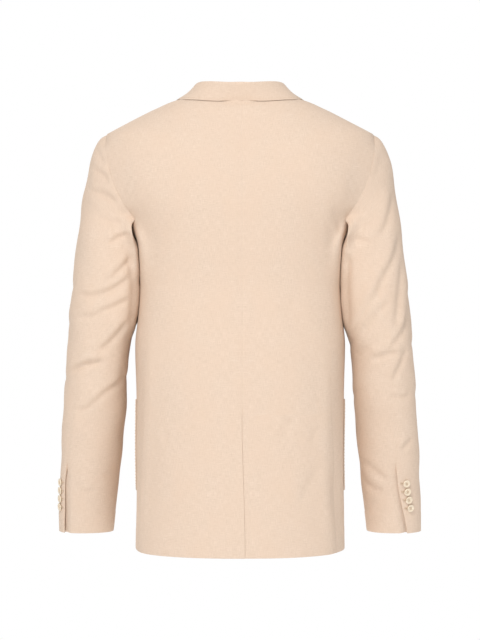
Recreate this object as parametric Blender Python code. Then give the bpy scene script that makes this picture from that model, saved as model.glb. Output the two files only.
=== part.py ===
"""Single breasted blazer, filled out as worn and empty inside.

Metres, +Z up. The front faces -Y and +X is the wearer's left. Z = 0 is the level where collar
and shoulder meet at the side of the neck.
"""
import math

import bpy
import numpy as np

# Driving sizes
WALL = 0.0019  # cloth wall of the body and sleeves
LEAF_WALL = 0.0017  # cloth wall of collar, lapels and pockets
SEAM_GAP = 0.0003  # between two pieces that meet at a seam
SLEEVE_SEAM_GAP = 0.00084  # the same along a sleeve, before its rows bend it narrower
ARMHOLE_GAP = 0.0006  # between a sleeve's top edge and the armhole
LAY_GAP = 0.0007  # between a piece and the cloth that it lies on
LAPEL_GAP = 0.0017  # under a lapel, which stands a little off the front
UNDER_DROP = 0.0030  # how far a covered layer lies below the layer on top of it
SHOULDER_Z = -0.0545  # shoulder point
UNDERARM_Z = -0.200  # where the body seams meet the armhole
UNDERARM_DIP = 0.012  # how much lower the armhole's bottom is
NECK_Z = 0.008  # side of the neckline
HEM_Z = -0.734
VENT_TOP_Z = -0.511
VENT_LAP = 0.034  # width of the covered part of the back vent
VENT_RAMP = (0.0035, 0.0100)  # where the covered part starts and stops rising beside the seam
BREAK_Z = -0.392  # where the lapel starts to roll
LAPEL_CROSS_Z = -0.364  # where the right lapel comes out from under the left front
LAPEL_BEND_Z = -0.130  # above this the lapel's rows lie closer together
ROLL_OVER = 0.0028  # how far the roll stands out past the front's edge
POCKET_TOP_Z = -0.485
POCKET_BOTTOM_Z = -0.660
POCKET_FRONT_COLUMN = 5  # column of the front where a pocket starts
POCKET_SIDE_COLUMNS = 5  # columns of the side that it covers
BUTTON_Z = (-0.412, -0.522)  # two front buttons
FRONT_BUTTON_RADIUS = 0.0100
FRONT_BUTTON_DEPTH = 0.0038
CUFF_BUTTON_RADIUS = 0.0064
CUFF_BUTTON_DEPTH = 0.0026
CUFF_BUTTON_Z = (-0.6290, -0.6430, -0.6570, -0.6710)
CUFF_BUTTON_ANGLE = 17.0  # degrees round the sleeve from the vent's edge
SLEEVE_RING_Z = -0.2445  # first level ring of the sleeve
RING_POWER = 2.2  # how square a sleeve's ring is
INNER_POWER = 0.5  # added on the side towards the body
REST_GAP = 0.0008  # between a sleeve and the body that it rests against
REST_SOFTNESS = 0.0034  # how gradually it comes to rest
CUFF_VENT_TOP_Z = -0.616
CUFF_LAP_ANGLE = 24.0  # degrees that the under sleeve reaches below the top sleeve
GORGE_START = (0.0600, -0.0550)  # X, Z where collar and lapel meet at the roll line
NOTCH = (0.1000, -0.0790)
LAPEL_TIP = (0.1330, -0.0985)
COLLAR_TIP = (0.1245, -0.0590)
GORGE_GAP = 0.0014  # between collar and lapel along the gorge

# Body sections: each level's height at side, back and front, its half width and depths
SECTION_COLUMNS = ("side_z", "back_z", "front_z", "half_width", "back_depth", "front_depth", "power")
SECTIONS = (
    (-0.734, -0.734, -0.750, 0.1716, 0.146, 0.136, 2.5),
    (-0.620, -0.620, -0.630, 0.1704, 0.142, 0.133, 2.5),
    (-0.490, -0.490, -0.494, 0.1700, 0.135, 0.128, 2.5),
    (-0.400, -0.400, -0.400, 0.1725, 0.126, 0.121, 2.5),
    (-0.350, -0.350, -0.350, 0.1678, 0.118, 0.117, 2.5),
    (-0.300, -0.300, -0.300, 0.1650, 0.113, 0.115, 2.5),
    (-0.245, -0.245, -0.245, 0.1665, 0.116, 0.121, 2.5),
    (-0.200, -0.200, -0.200, 0.1820, 0.119, 0.124, 2.5),
    (-0.172, -0.172, -0.172, 0.2000, 0.121, 0.123, 2.5),
    (-0.147, -0.150, -0.152, 0.2125, 0.1205, 0.120, 2.5),
    (-0.118, -0.126, -0.130, 0.2200, 0.1190, 0.116, 2.45),
    (-0.092, -0.107, -0.114, 0.2224, 0.1165, 0.110, 2.35),
    (-0.070, -0.093, -0.101, 0.2222, 0.1130, 0.103, 2.2),
    (-0.0545, -0.082, -0.092, 0.2190, 0.1085, 0.096, 2.1),
    (-0.0325, -0.061, -0.073, 0.1780, 0.0985, 0.084, 2.05),
    (-0.0120, -0.037, -0.052, 0.1370, 0.0865, 0.071, 2.05),
    (0.0015, -0.018, -0.032, 0.1040, 0.0770, 0.061, 2.1),
    (0.0080, -0.008, -0.018, 0.0720, 0.0680, 0.053, 2.1),
)

# Seams between back, side and front, as their Y at each level. Above the underarm they are
# the back and front edges of the armhole
EDGE_COLUMNS = ("z", "back_y", "front_y")
EDGES = (
    (-0.734, 0.077, -0.078),
    (-0.620, 0.081, -0.078),
    (-0.490, 0.085, -0.076),
    (-0.310, 0.0745, -0.070),
    (-0.240, 0.064, -0.064),
    (-0.200, 0.058, -0.060),
    (-0.172, 0.060, -0.062),
    (-0.147, 0.058, -0.060),
    (-0.118, 0.052, -0.052),
    (-0.092, 0.042, -0.041),
    (-0.070, 0.0265, -0.0255),
    (-0.060, 0.0145, -0.0140),
    (-0.0545, 0.0, 0.0),
)

# Free edge of each front, seen from the front: rounded hem, straight edge, then roll line
FRONT_EDGE_COLUMNS = ("z", "x")
FRONT_EDGE = (
    (-0.7500, 0.0900),
    (-0.7440, 0.0640),
    (-0.7300, 0.0450),
    (-0.7050, 0.0290),
    (-0.6600, 0.0110),
    (-0.6000, -0.0040),
    (-0.5200, -0.0150),
    (-0.4200, -0.0180),
    (-0.3920, -0.0160),
    (-0.3500, -0.0060),
    (-0.2000, 0.0300),
    (-0.0550, 0.0600),
    (-0.0200, 0.0660),
    (0.0080, 0.0714),
)

# Outer edge of a lapel
LAPEL_EDGE_COLUMNS = ("z", "x")
LAPEL_EDGE = (
    (-0.390, -0.004),
    (-0.365, 0.022),
    (-0.320, 0.056),
    (-0.260, 0.088),
    (-0.200, 0.111),
    (-0.140, 0.1265),
    (-0.0985, 0.1330),
)

# Columns of a lapel from roll to edge: share of its width, and height in lapel heights
LAPEL_SHARES = (0.0, 0.0, 0.03, 0.12, 0.30, 0.50, 0.75, 1.0)
LAPEL_RISES = (-0.5, 1.0, 1.15, 1.0, 1.0, 1.0, 1.0, 1.0)

# Sleeve cap: paths of its outermost and innermost lines from armhole to first level ring
CAP_COLUMNS = ("step", "outer_x", "outer_z", "inner_x", "inner_z")
CAP = (
    (0.00, 0.2195, -0.0545, 0.1780, -0.2120),
    (0.07, 0.2290, -0.0600, 0.1796, -0.2140),
    (0.18, 0.2390, -0.0760, 0.1790, -0.2175),
    (0.40, 0.2505, -0.1170, 0.1745, -0.2240),
    (0.70, 0.2610, -0.1800, 0.1685, -0.2335),
    (1.00, 0.2690, -0.2445, 0.1630, -0.2445),
)

# Sleeve rings below the cap, the same for both sleeves
RING_COLUMNS = ("z", "centre_x", "centre_y", "width", "depth")
RINGS = (
    (-0.2445, 0.2160, 0.000, 0.1060, 0.130),
    (-0.2850, 0.21745, 0.003, 0.1129, 0.128),
    (-0.3270, 0.2196, 0.004, 0.1162, 0.125),
    (-0.3600, 0.2242, 0.004, 0.1142, 0.122),
    (-0.3930, 0.2315, 0.003, 0.1046, 0.119),
    (-0.4425, 0.2360, -0.002, 0.1022, 0.116),
    (-0.4900, 0.2393, -0.008, 0.1022, 0.112),
    (-0.5750, 0.2463, -0.025, 0.0998, 0.103),
    (-0.6245, 0.2512, -0.037, 0.0984, 0.099),
    (-0.6570, 0.2542, -0.045, 0.0963, 0.095),
    (-0.7140, 0.2585, -0.060, 0.0909, 0.090),
)

# Angle of the sleeve's back seam at each level, in degrees from outwards towards the back
SLEEVE_SEAM_COLUMNS = ("z", "left", "right")
SLEEVE_SEAM = (
    (-0.2445, 92.0, 96.0),
    (-0.4100, 66.0, 77.0),
    (-0.5500, 46.0, 82.0),
    (-0.6160, 39.0, 82.0),
    (-0.7140, 36.0, 66.0),
)
FRONT_SEAM_ANGLE = 232.0

# Largest folds: a line from (x, z) to (x, z) seen from behind or in front, the side that it is
# on, its half width and its depth, where a negative depth is a ridge
FOLD_COLUMNS = ("on", "from_x", "from_z", "to_x", "to_z", "half_width", "depth")
BODY_FOLDS = (
    ("back", -0.151, -0.165, -0.168, -0.225, 0.010, 0.0030),
    ("back", -0.156, -0.520, -0.152, -0.740, 0.014, 0.0050),
    ("back", 0.163, -0.500, 0.160, -0.700, 0.012, 0.0020),
    ("back", -0.078, -0.325, -0.125, -0.405, 0.016, 0.0022),
    ("back", -0.022, -0.335, -0.028, -0.455, 0.016, 0.0012),
    ("front", 0.035, -0.425, 0.120, -0.380, 0.013, 0.0024),
    ("front", -0.030, -0.430, -0.115, -0.395, 0.013, 0.0022),
    ("front", 0.166, -0.180, 0.160, -0.250, 0.012, 0.0022),
    ("front", -0.167, -0.185, -0.161, -0.245, 0.012, 0.0020),
)
SLEEVE_FOLDS = {
    "left": (
        ("back", 0.182, -0.219, 0.216, -0.238, 0.008, 0.0028),
        ("back", 0.184, -0.264, 0.220, -0.302, 0.009, 0.0034),
        ("back", 0.190, -0.296, 0.262, -0.318, 0.009, 0.0034),
        ("back", 0.182, -0.322, 0.262, -0.356, 0.009, 0.0038),
        ("back", 0.186, -0.362, 0.232, -0.410, 0.009, 0.0034),
        ("back", 0.228, -0.428, 0.276, -0.443, 0.009, 0.0042),
        ("back", 0.196, -0.455, 0.252, -0.510, 0.009, 0.0032),
        ("front", 0.188, -0.300, 0.250, -0.345, 0.010, 0.0034),
        ("front", 0.192, -0.360, 0.268, -0.400, 0.010, 0.0040),
        ("front", 0.196, -0.430, 0.255, -0.455, 0.010, 0.0032),
    ),
    "right": (
        ("back", -0.185, -0.233, -0.218, -0.231, 0.008, 0.0028),
        ("back", -0.258, -0.256, -0.218, -0.338, 0.010, 0.0042),
        ("back", -0.240, -0.330, -0.212, -0.364, 0.009, 0.0034),
        ("back", -0.278, -0.362, -0.242, -0.410, 0.009, 0.0034),
        ("back", -0.262, -0.416, -0.212, -0.426, 0.009, 0.0040),
        ("back", -0.276, -0.418, -0.250, -0.462, 0.009, 0.0030),
        ("back", -0.280, -0.488, -0.250, -0.482, 0.009, 0.0026),
        ("front", -0.190, -0.290, -0.248, -0.330, 0.010, 0.0034),
        ("front", -0.192, -0.355, -0.264, -0.398, 0.010, 0.0040),
        ("front", -0.198, -0.425, -0.250, -0.450, 0.010, 0.0030),
    ),
}

# Button: rings from back to front, as share of its radius and of its depth
BUTTON_PROFILE = ((0.0, 0.0), (0.90, 0.0), (1.0, 0.45), (0.88, 1.0), (0.70, 0.80), (0.0, 0.75))

# Resolution
BACK_COLUMNS = 8
SIDE_COLUMNS = 7
FRONT_COLUMNS = 9
TOP_SLEEVE_COLUMNS = 13
UNDER_SLEEVE_COLUMNS = 8
SLEEVE_ROWS = 18
CAP_STEPS = (0, 0.03, 0.08, 0.15, 0.25, 0.38, 0.52, 0.68, 0.84, 1.0)
COLLAR_STEPS = (0.0, 0.16, 0.32, 0.48, 0.64, 0.80, 0.94, 1.08, 1.24, 1.42, 1.61, 1.81, 2.0)

# Collar: how far along from the centre back (1 at the shoulder seam, 2 at the gorge), how high
# its crown stands over its foot, and where the edge of its leaf runs
COLLAR_COLUMNS = ("along", "crown_up", "edge_x", "edge_y", "edge_z")
COLLAR = (
    (0.00, 0.0335, 0.0000, 0.0760, -0.0070),
    (0.30, 0.0325, 0.0340, 0.0740, -0.0070),
    (0.60, 0.0280, 0.0700, 0.0610, -0.0060),
    (0.80, 0.0215, 0.0940, 0.0390, -0.0030),
    (1.00, 0.0145, 0.1085, 0.0040, 0.0015),
    (1.30, 0.0110, 0.1150, -0.0300, -0.0200),
    (1.65, 0.0070, 0.1215, -0.0500, -0.0420),
    (2.00, 0.0042, 0.1245, -0.0650, -0.0590),
)

# Stand of the collar from foot to crown: how far out and how high, where the height is a share
# of the crown's less a drop
STAND_COLUMNS = ("out", "share", "drop")
STAND = (
    (-0.0028, 0.0, -0.0006),
    (-0.0030, 0.5, 0.0),
    (-0.0026, 1.0, 0.0040),
    (-0.0008, 1.0, 0.0008),
    (0.0018, 1.0, 0.0),
    (0.0044, 1.0, 0.0014),
)
LEAF_SHARES = (0.28, 0.52, 0.76)  # lines of the leaf between crown and edge
GORGE_X = (0.0745, 0.0870, NOTCH[0])  # where the leaf's lines meet the gorge

CLOTH_COLOUR = (0.80, 0.66, 0.52, 1.0)
BUTTON_COLOUR = (0.78, 0.70, 0.55, 1.0)


def columns(names, rows):
    """A table's columns by name, as arrays."""
    return {name: np.array([row[i] for row in rows]) for i, name in enumerate(names)}


def through(xs, ys, at):
    """Smooth curve through (xs, ys) that never overshoots, for ascending xs."""
    xs, ys = np.asarray(xs, float), np.asarray(ys, float)
    at = np.clip(np.asarray(at, float), xs[0], xs[-1])
    step = np.diff(xs)
    slope = np.diff(ys) / step
    before, after = slope[:-1], slope[1:]
    same = before * after > 0
    safe_before, safe_after = np.where(same, before, 1.0), np.where(same, after, 1.0)
    heavy, light = 2 * step[1:] + step[:-1], step[1:] + 2 * step[:-1]
    inner = np.where(same, (heavy + light) / (heavy / safe_before + light / safe_after), 0.0)
    tangent = np.concatenate([[slope[0]], inner, [slope[-1]]])
    k = np.clip(np.searchsorted(xs, at, side="right") - 1, 0, len(xs) - 2)
    h = step[k]
    t = (at - xs[k]) / h
    return (
        ys[k] * (1 + 2 * t) * (1 - t) ** 2
        + ys[k + 1] * t * t * (3 - 2 * t)
        + h * tangent[k] * t * (1 - t) ** 2
        + h * tangent[k + 1] * t * t * (t - 1)
    )


def read(table, key, name, at):
    """A column of a table at a value of its key column, whichever way the key runs."""
    keys, values = table[key], table[name]
    if keys[0] > keys[-1]:
        keys, values = keys[::-1], values[::-1]
    return through(keys, values, at)


def smooth(low, high, x):
    """0 below low, 1 above high, easing between."""
    t = np.clip((np.asarray(x, float) - low) / (high - low), 0, 1)
    return t * t * (3 - 2 * t)


SIDE_SIGN = {"left": 1, "right": -1}
SECTION = columns(SECTION_COLUMNS, SECTIONS)
EDGE = columns(EDGE_COLUMNS, EDGES)
FREE = columns(FRONT_EDGE_COLUMNS, FRONT_EDGE)
LAPEL = columns(LAPEL_EDGE_COLUMNS, LAPEL_EDGE)
CAP_PATH = columns(CAP_COLUMNS, CAP)
RING = columns(RING_COLUMNS, RINGS)
SEAM_ANGLE = columns(SLEEVE_SEAM_COLUMNS, SLEEVE_SEAM)
COLLAR_SHAPE = columns(COLLAR_COLUMNS, COLLAR)


def unit(vectors):
    """Vectors of length 1 with the same directions."""
    return vectors / np.maximum(np.linalg.norm(vectors, axis=-1, keepdims=True), 1e-12)


def body_form(level, angle):
    """Point of the body at a level (its height at the side) and an angle from the centre back."""
    level, angle = np.broadcast_arrays(np.asarray(level, float), np.asarray(angle, float))
    s, c = np.sin(angle), np.cos(angle)
    width = read(SECTION, "side_z", "half_width", level)
    behind = c > 0
    depth = np.where(
        behind,
        read(SECTION, "side_z", "back_depth", level),
        read(SECTION, "side_z", "front_depth", level),
    )
    power = read(SECTION, "side_z", "power", level)
    reach = (np.abs(s / width) ** power + np.abs(c / depth) ** power) ** (-1 / power)
    far_z = np.where(
        behind,
        read(SECTION, "side_z", "back_z", level),
        read(SECTION, "side_z", "front_z", level),
    )
    return np.stack([reach * s, reach * c, level + (far_z - level) * c * c], axis=-1)


def fold_depth(points, facing, folds):
    """How far folds sink a surface at points, where facing is the Y of its outward normal."""
    sunk = np.zeros(points.shape[:-1])
    for fold in folds:
        row = dict(zip(FOLD_COLUMNS, fold))
        start = np.array([row["from_x"], row["from_z"]])
        run = np.array([row["to_x"], row["to_z"]]) - start
        offset = points[..., [0, 2]] - start
        along = np.clip((offset @ run) / (run @ run), 0, 1)
        away = np.linalg.norm(offset - along[..., None] * run, axis=-1)
        side = 1 if row["on"] == "back" else -1
        seen = smooth(0.05, 0.6, side * facing)
        sunk += row["depth"] * np.exp(-((away / row["half_width"]) ** 2)) * seen
    return sunk


def body_skin(level, angle, lift=0.0):
    """Point at a lift from the body's outer face, with its folds, and the outward normal."""
    nudge = 1e-4
    here = body_form(level, angle)
    level, angle = np.asarray(level, float), np.asarray(angle, float)
    up = body_form(level + nudge, angle) - body_form(level - nudge, angle)
    around = body_form(level, angle + nudge) - body_form(level, angle - nudge)
    normal = unit(np.cross(up, around))
    outward = np.sign((normal[..., :2] * here[..., :2]).sum(-1))
    normal = normal * np.where(outward == 0, 1, outward)[..., None]
    lift = np.asarray(lift, float) - fold_depth(here, normal[..., 1], BODY_FOLDS)
    return here + normal * lift[..., None], normal


def angle_at_y(level, y):
    """Angle of the left side's point with a given Y at a level."""
    behind = np.asarray(y) > 0
    depth = np.where(
        behind,
        read(SECTION, "side_z", "back_depth", level),
        read(SECTION, "side_z", "front_depth", level),
    )
    power = read(SECTION, "side_z", "power", level)
    width = read(SECTION, "side_z", "half_width", level)
    x = width * (1 - np.abs(y / depth) ** power) ** (1 / power)
    return np.arctan2(x, y)


def seam_angle(level, name):
    """Angle of the back or front seam, the armhole's edge or the shoulder seam at a level."""
    y = read(EDGE, "z", name, level)
    return np.where(np.asarray(level) >= SHOULDER_Z, math.pi / 2, angle_at_y(level, y))


def front_angle(level, x):
    """Angle of the front's point with a given X, which may be a function of its height."""
    power = read(SECTION, "side_z", "power", level)
    width = read(SECTION, "side_z", "half_width", level)
    depth = read(SECTION, "side_z", "front_depth", level)
    front_z = read(SECTION, "side_z", "front_z", level)
    z = np.asarray(level, float)
    for _ in range(6):
        across = x(z) if callable(x) else x
        y = depth * (1 - np.minimum(np.abs(across) / width, 1) ** power) ** (1 / power)
        angle = np.arctan2(across, -y)
        z = level + (front_z - level) * np.cos(angle) ** 2
    return np.where(angle < 0, angle + 2 * math.pi, angle)


def front_place(x, z):
    """Level and angle of the front's point at an X and a height."""
    level = np.asarray(z, float)
    for _ in range(25):
        angle = front_angle(level, x)
        level = level + 0.8 * (z - body_form(level, angle)[..., 2])
    return level, front_angle(level, x)


def trimmed(grid, ends, amount=SEAM_GAP / 2):
    """A grid with its first or last rows or columns drawn in from a seam."""
    grid = grid.copy()
    for end in ends:
        view = grid if end in ("bottom", "top") else grid.swapaxes(0, 1)
        edge, inner = (0, 1) if end in ("bottom", "first") else (-1, -2)
        view[edge] += unit(view[inner] - view[edge]) * amount
    return grid


def cloth(name, outer, inner, colour=CLOTH_COLOUR):
    """Closed sheet between two grids of points that match."""
    rows, across = outer.shape[:2]
    count = rows * across
    points = np.concatenate([outer.reshape(-1, 3), inner.reshape(-1, 3)])

    def at(r, c, layer):
        return layer * count + r * across + c

    faces = []
    for r in range(rows - 1):
        for c in range(across - 1):
            ring = ((r, c), (r, c + 1), (r + 1, c + 1), (r + 1, c))
            faces.append([at(a, b, 0) for a, b in ring])
            faces.append([at(a, b, 1) for a, b in reversed(ring)])
    border = [(0, c) for c in range(across)]
    border += [(r, across - 1) for r in range(1, rows)]
    border += [(rows - 1, c) for c in range(across - 2, -1, -1)]
    border += [(r, 0) for r in range(rows - 2, 0, -1)]
    for a, b in zip(border, border[1:] + border[:1]):
        faces.append([at(*b, 0), at(*a, 0), at(*a, 1), at(*b, 1)])
    return solid(name, points, faces, colour)


def solid(name, points, faces, colour, rough=0.85):
    """Mesh object with its own material, its faces turned outwards."""
    mesh = bpy.data.meshes.new(name)
    mesh.from_pydata([tuple(p) for p in points], [], faces)
    mesh.update()
    mesh.calc_loop_triangles()
    corners = np.array([[mesh.vertices[i].co[:] for i in t.vertices] for t in mesh.loop_triangles])
    a, b, c = corners.transpose(1, 0, 2)
    if (a * np.cross(b, c)).sum() < 0:
        mesh.flip_normals()
    for face in mesh.polygons:
        face.use_smooth = True
    material = bpy.data.materials.new(name)
    material.use_nodes = True
    shader = material.node_tree.nodes["Principled BSDF"]
    shader.inputs["Base Color"].default_value = colour
    shader.inputs["Roughness"].default_value = rough
    mesh.materials.append(material)
    item = bpy.data.objects.new(name, mesh)
    bpy.context.scene.collection.objects.link(item)
    return item


def sheet_on_body(name, levels, angles, ends, lift=0.0, wall=WALL):
    """Piece of the body from a grid of angles, one row for each level."""
    outer, _ = body_skin(levels, angles, lift)
    inner, _ = body_skin(levels, angles, np.asarray(lift) - wall)
    outer, inner = trimmed(outer, ends), trimmed(inner, ends)
    cloth(name, outer, inner)
    return outer, inner


def spread(low, high, steps):
    """Steps of a grid row between two values that may be arrays, one per row."""
    share = np.linspace(0, 1, steps + 1)
    return np.asarray(low)[..., None] * (1 - share) + np.asarray(high)[..., None] * share


# Levels of the body's rows, from hem to underarm to shoulder point to neck
LOW = np.concatenate([
    [HEM_Z, -0.727, -0.715, -0.699, -0.680],
    np.linspace(-0.655, VENT_TOP_Z, 6),
    np.linspace(-0.492, UNDERARM_Z, 11),
])
HOLE = np.array([
    -0.184, -0.168, -0.152, -0.135, -0.118, -0.101, -0.086, -0.074, -0.065, -0.058, SHOULDER_Z,
])
ROOF = np.array([-0.044, -0.0325, -0.021, -0.0095, 0.0005, NECK_Z])
LEVELS = np.concatenate([LOW, HOLE, ROOF])


def centre_back_x(z):
    """X of the centre back seam, which leans a little to the wearer's right below the waist."""
    return -0.0031 - 0.0050 * smooth(-0.50, HEM_Z, z)


def back_angle(level, x):
    """Angle of the back's point with a given X at a level."""
    power = read(SECTION, "side_z", "power", level)
    width = read(SECTION, "side_z", "half_width", level)
    depth = read(SECTION, "side_z", "back_depth", level)
    y = depth * (1 - np.minimum(np.abs(x) / width, 1) ** power) ** (1 / power)
    return np.arctan2(x, y)


def backs():
    """Both back pieces, the left one lying over the right one below the vent's top."""
    middle = back_angle(LEVELS, centre_back_x(LEVELS))
    rim = seam_angle(LEVELS, "back_y")
    angles = spread(middle, rim, BACK_COLUMNS)
    levels = np.repeat(LEVELS[:, None], angles.shape[1], axis=1)
    sheet_on_body("back_left", levels, angles, ("first", "last"))

    vent = LEVELS < VENT_TOP_Z + 1e-6
    under = back_angle(LEVELS, centre_back_x(LEVELS) + VENT_LAP * vent)
    beside = back_angle(LEVELS, centre_back_x(LEVELS) - VENT_RAMP[0])
    clear = back_angle(LEVELS, centre_back_x(LEVELS) - VENT_RAMP[1])
    first = np.where(vent, under, middle)
    covered = np.stack([first, (first + beside) / 2, beside], axis=1)
    angles = np.concatenate([covered, spread(clear, -rim, BACK_COLUMNS - 1)], axis=1)
    levels = np.repeat(LEVELS[:, None], angles.shape[1], axis=1)
    lift = np.zeros(angles.shape)
    lift[:, :3] = -UNDER_DROP * smooth(VENT_TOP_Z + 0.050, VENT_TOP_Z + 0.015, LEVELS)[:, None]
    sheet_on_body("back_right", levels, angles, ("first", "last"), lift)


def sides():
    """Side pieces from hem to the bottom of the armholes."""
    grids = {}
    for side, sign in SIDE_SIGN.items():
        angles = sign * spread(seam_angle(LOW, "back_y"), seam_angle(LOW, "front_y"), SIDE_COLUMNS)
        share = np.linspace(0, 1, SIDE_COLUMNS + 1)
        dip = UNDERARM_DIP * np.sin(math.pi * share)
        levels = LOW[:, None] - dip * smooth(UNDERARM_Z - 0.10, UNDERARM_Z, LOW)[:, None]
        grids[side] = (levels, angles)
        sheet_on_body("side_" + side, levels, angles, ("first", "last"))
    return grids


def front_grid(sign):
    """Levels and angles of a front, from its free edge to side seam, armhole and shoulder."""
    free = front_angle(LEVELS, lambda z: read(FREE, "z", "x", z))
    rim = seam_angle(LEVELS, "front_y")
    shares = np.concatenate([[0.0, 0.07], np.linspace(0.18, 1.0, FRONT_COLUMNS - 1)])
    angles = free[:, None] * (1 - shares) + rim[:, None] * shares
    return np.repeat(LEVELS[:, None], angles.shape[1], axis=1), sign * angles


def fronts():
    """Both fronts, the left one lapped over the right one."""
    grids = {}
    for side, sign in SIDE_SIGN.items():
        levels, angles = front_grid(sign)
        lift = np.zeros(angles.shape)
        if side == "right":
            across = body_form(levels, angles)[..., 0]
            below = smooth(BREAK_Z + 0.105, BREAK_Z + 0.065, levels)
            lift = -UNDER_DROP * smooth(-0.034, -0.021, across) * below
        outer, inner = body_skin(levels, angles, lift)[0], body_skin(levels, angles, lift - WALL)[0]
        ends = ("last",)
        cloth("front_" + side, trimmed(outer, ends), trimmed(inner, ends))
        grids[side] = (levels, angles)
    return grids


def pockets(side_grids, front_grids):
    """Patch pockets on the hips, made from the points of the front and side below them."""
    rows = np.flatnonzero((LOW > POCKET_BOTTOM_Z) & (LOW < POCKET_TOP_Z))
    for side in ("left", "right"):
        found = []
        for on_front, on_side in zip(front_grids[side], side_grids[side]):
            back_half = on_side[rows][:, : -POCKET_SIDE_COLUMNS - 1 : -1]
            found.append(np.concatenate([on_front[rows][:, POCKET_FRONT_COLUMN:-1], back_half], axis=1))
        outer, _ = body_skin(*found, LAY_GAP + LEAF_WALL)
        inner, _ = body_skin(*found, LAY_GAP)
        cloth("pocket_" + side, outer, inner)


def lapels():
    """Notched lapels turned back along the roll line."""
    share = np.array(LAPEL_SHARES)
    for side, sign in SIDE_SIGN.items():
        first = BREAK_Z + 0.004 if side == "left" else LAPEL_CROSS_Z
        heights = np.concatenate([
            np.linspace(first, LAPEL_BEND_Z, 11)[:-1],
            np.linspace(LAPEL_BEND_Z, GORGE_START[1], 7),
        ])
        span = (heights - heights[0]) / (heights[-1] - heights[0])
        edge_z = heights[0] + span * (LAPEL_TIP[1] - heights[0])
        roll_x = read(FREE, "z", "x", heights) - ROLL_OVER
        if side == "right":
            roll_x = np.maximum(roll_x, 0.0010 - roll_x)
        edge_x = read(LAPEL, "z", "x", edge_z)
        x = roll_x[:, None] * (1 - share) + edge_x[:, None] * share
        z = heights[:, None] * (1 - share) + edge_z[:, None] * share
        level, angle = front_place(x, z)
        rise = np.array(LAPEL_RISES) * np.ones(x.shape)
        if side == "right":
            rise[:, 0] = 0.35 - 0.85 * smooth(-0.300, -0.270, heights)
        outer, normal = body_skin(level, sign * angle, (LAPEL_GAP + LEAF_WALL) * rise)
        inner = outer - normal * LEAF_WALL
        inner[:, :2] = outer[:, :2] + np.array([sign * LEAF_WALL, 0, 0])
        inner[:, 1] -= normal[:, 1] * LEAF_WALL
        cloth("lapel_" + side, outer, inner)


def neckline(along):
    """Foot of the left half of the collar, 0 at the centre back, 1 at the shoulder seam and 2 at
    the gorge, and the body's normal there."""
    along = np.asarray(along, float)
    back, back_normal = body_skin(NECK_Z, np.clip(along, 0, 1) * math.pi / 2)
    z = NECK_Z + (GORGE_START[1] + GORGE_GAP - NECK_Z) * np.clip(along - 1, 0, 1)
    level, angle = front_place(read(FREE, "z", "x", z), z)
    front, front_normal = body_skin(level, angle)
    share = smooth(0.92, 1.08, along)[..., None]
    return back * (1 - share) + front * share, unit(back_normal * (1 - share) + front_normal * share)


def armhole():
    """Closed line of the left armhole as two halves that start at the shoulder point and end at
    the bottom: the back one, then the front one."""
    up = HOLE[::-1]
    share = np.linspace(0, 1, SIDE_COLUMNS + 1)
    back_rim = seam_angle(UNDERARM_Z, "back_y")
    front_rim = seam_angle(UNDERARM_Z, "front_y")
    under_angle = back_rim * (1 - share) + front_rim * share
    under_level = UNDERARM_Z - UNDERARM_DIP * np.sin(math.pi * share)
    middle = SIDE_COLUMNS // 2
    halves = []
    for name, part in (("back_y", slice(0, middle + 1)), ("front_y", slice(None, middle - 1, -1))):
        levels = np.concatenate([up, under_level[part]])
        angles = np.concatenate([seam_angle(up, name), under_angle[part]])
        halves.append((levels, angles))
    return halves


def along_line(points, share):
    """Points at shares of a line's length."""
    run = np.concatenate([[0], np.cumsum(np.linalg.norm(np.diff(points, axis=0), axis=1))])
    at = np.asarray(share, float) * run[-1]
    return np.stack([np.interp(at, run, points[:, i]) for i in range(3)], axis=-1)


def ring_height(step):
    """Height of a sleeve's level ring at a step."""
    return SLEEVE_RING_Z + np.clip(step - 1, 0, 1) * (RINGS[-1][0] - SLEEVE_RING_Z)


def ring_step(z):
    """Step at which a sleeve's level ring has a height."""
    return 1 + (z - SLEEVE_RING_Z) / (RINGS[-1][0] - SLEEVE_RING_Z)


def body_reach(y, z):
    """Half width of the body's outer face at a Y and a height below the armhole."""
    width = read(SECTION, "side_z", "half_width", z)
    depth = np.where(
        y > 0, read(SECTION, "side_z", "back_depth", z), read(SECTION, "side_z", "front_depth", z)
    )
    power = read(SECTION, "side_z", "power", z)
    return width * (1 - np.minimum(np.abs(y) / depth, 1) ** power) ** (1 / power)


def rested(points, step):
    """Points of the left sleeve, moved outwards where the body's side holds them off."""
    x, y, z = points[..., 0], points[..., 1], points[..., 2]
    settled = smooth(0, 0.12, step)
    free = x - body_reach(y, z) - REST_GAP * settled
    soft = REST_SOFTNESS * np.maximum(settled, 1e-3)
    push = np.where(free < -soft, -free, soft * (1 - np.minimum(free / soft, 1)) ** 2 / 4)
    held = smooth(UNDERARM_Z + 0.012, UNDERARM_Z - 0.002, z)
    return points + np.stack([push * held, 0 * push, 0 * push], axis=-1)


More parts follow.
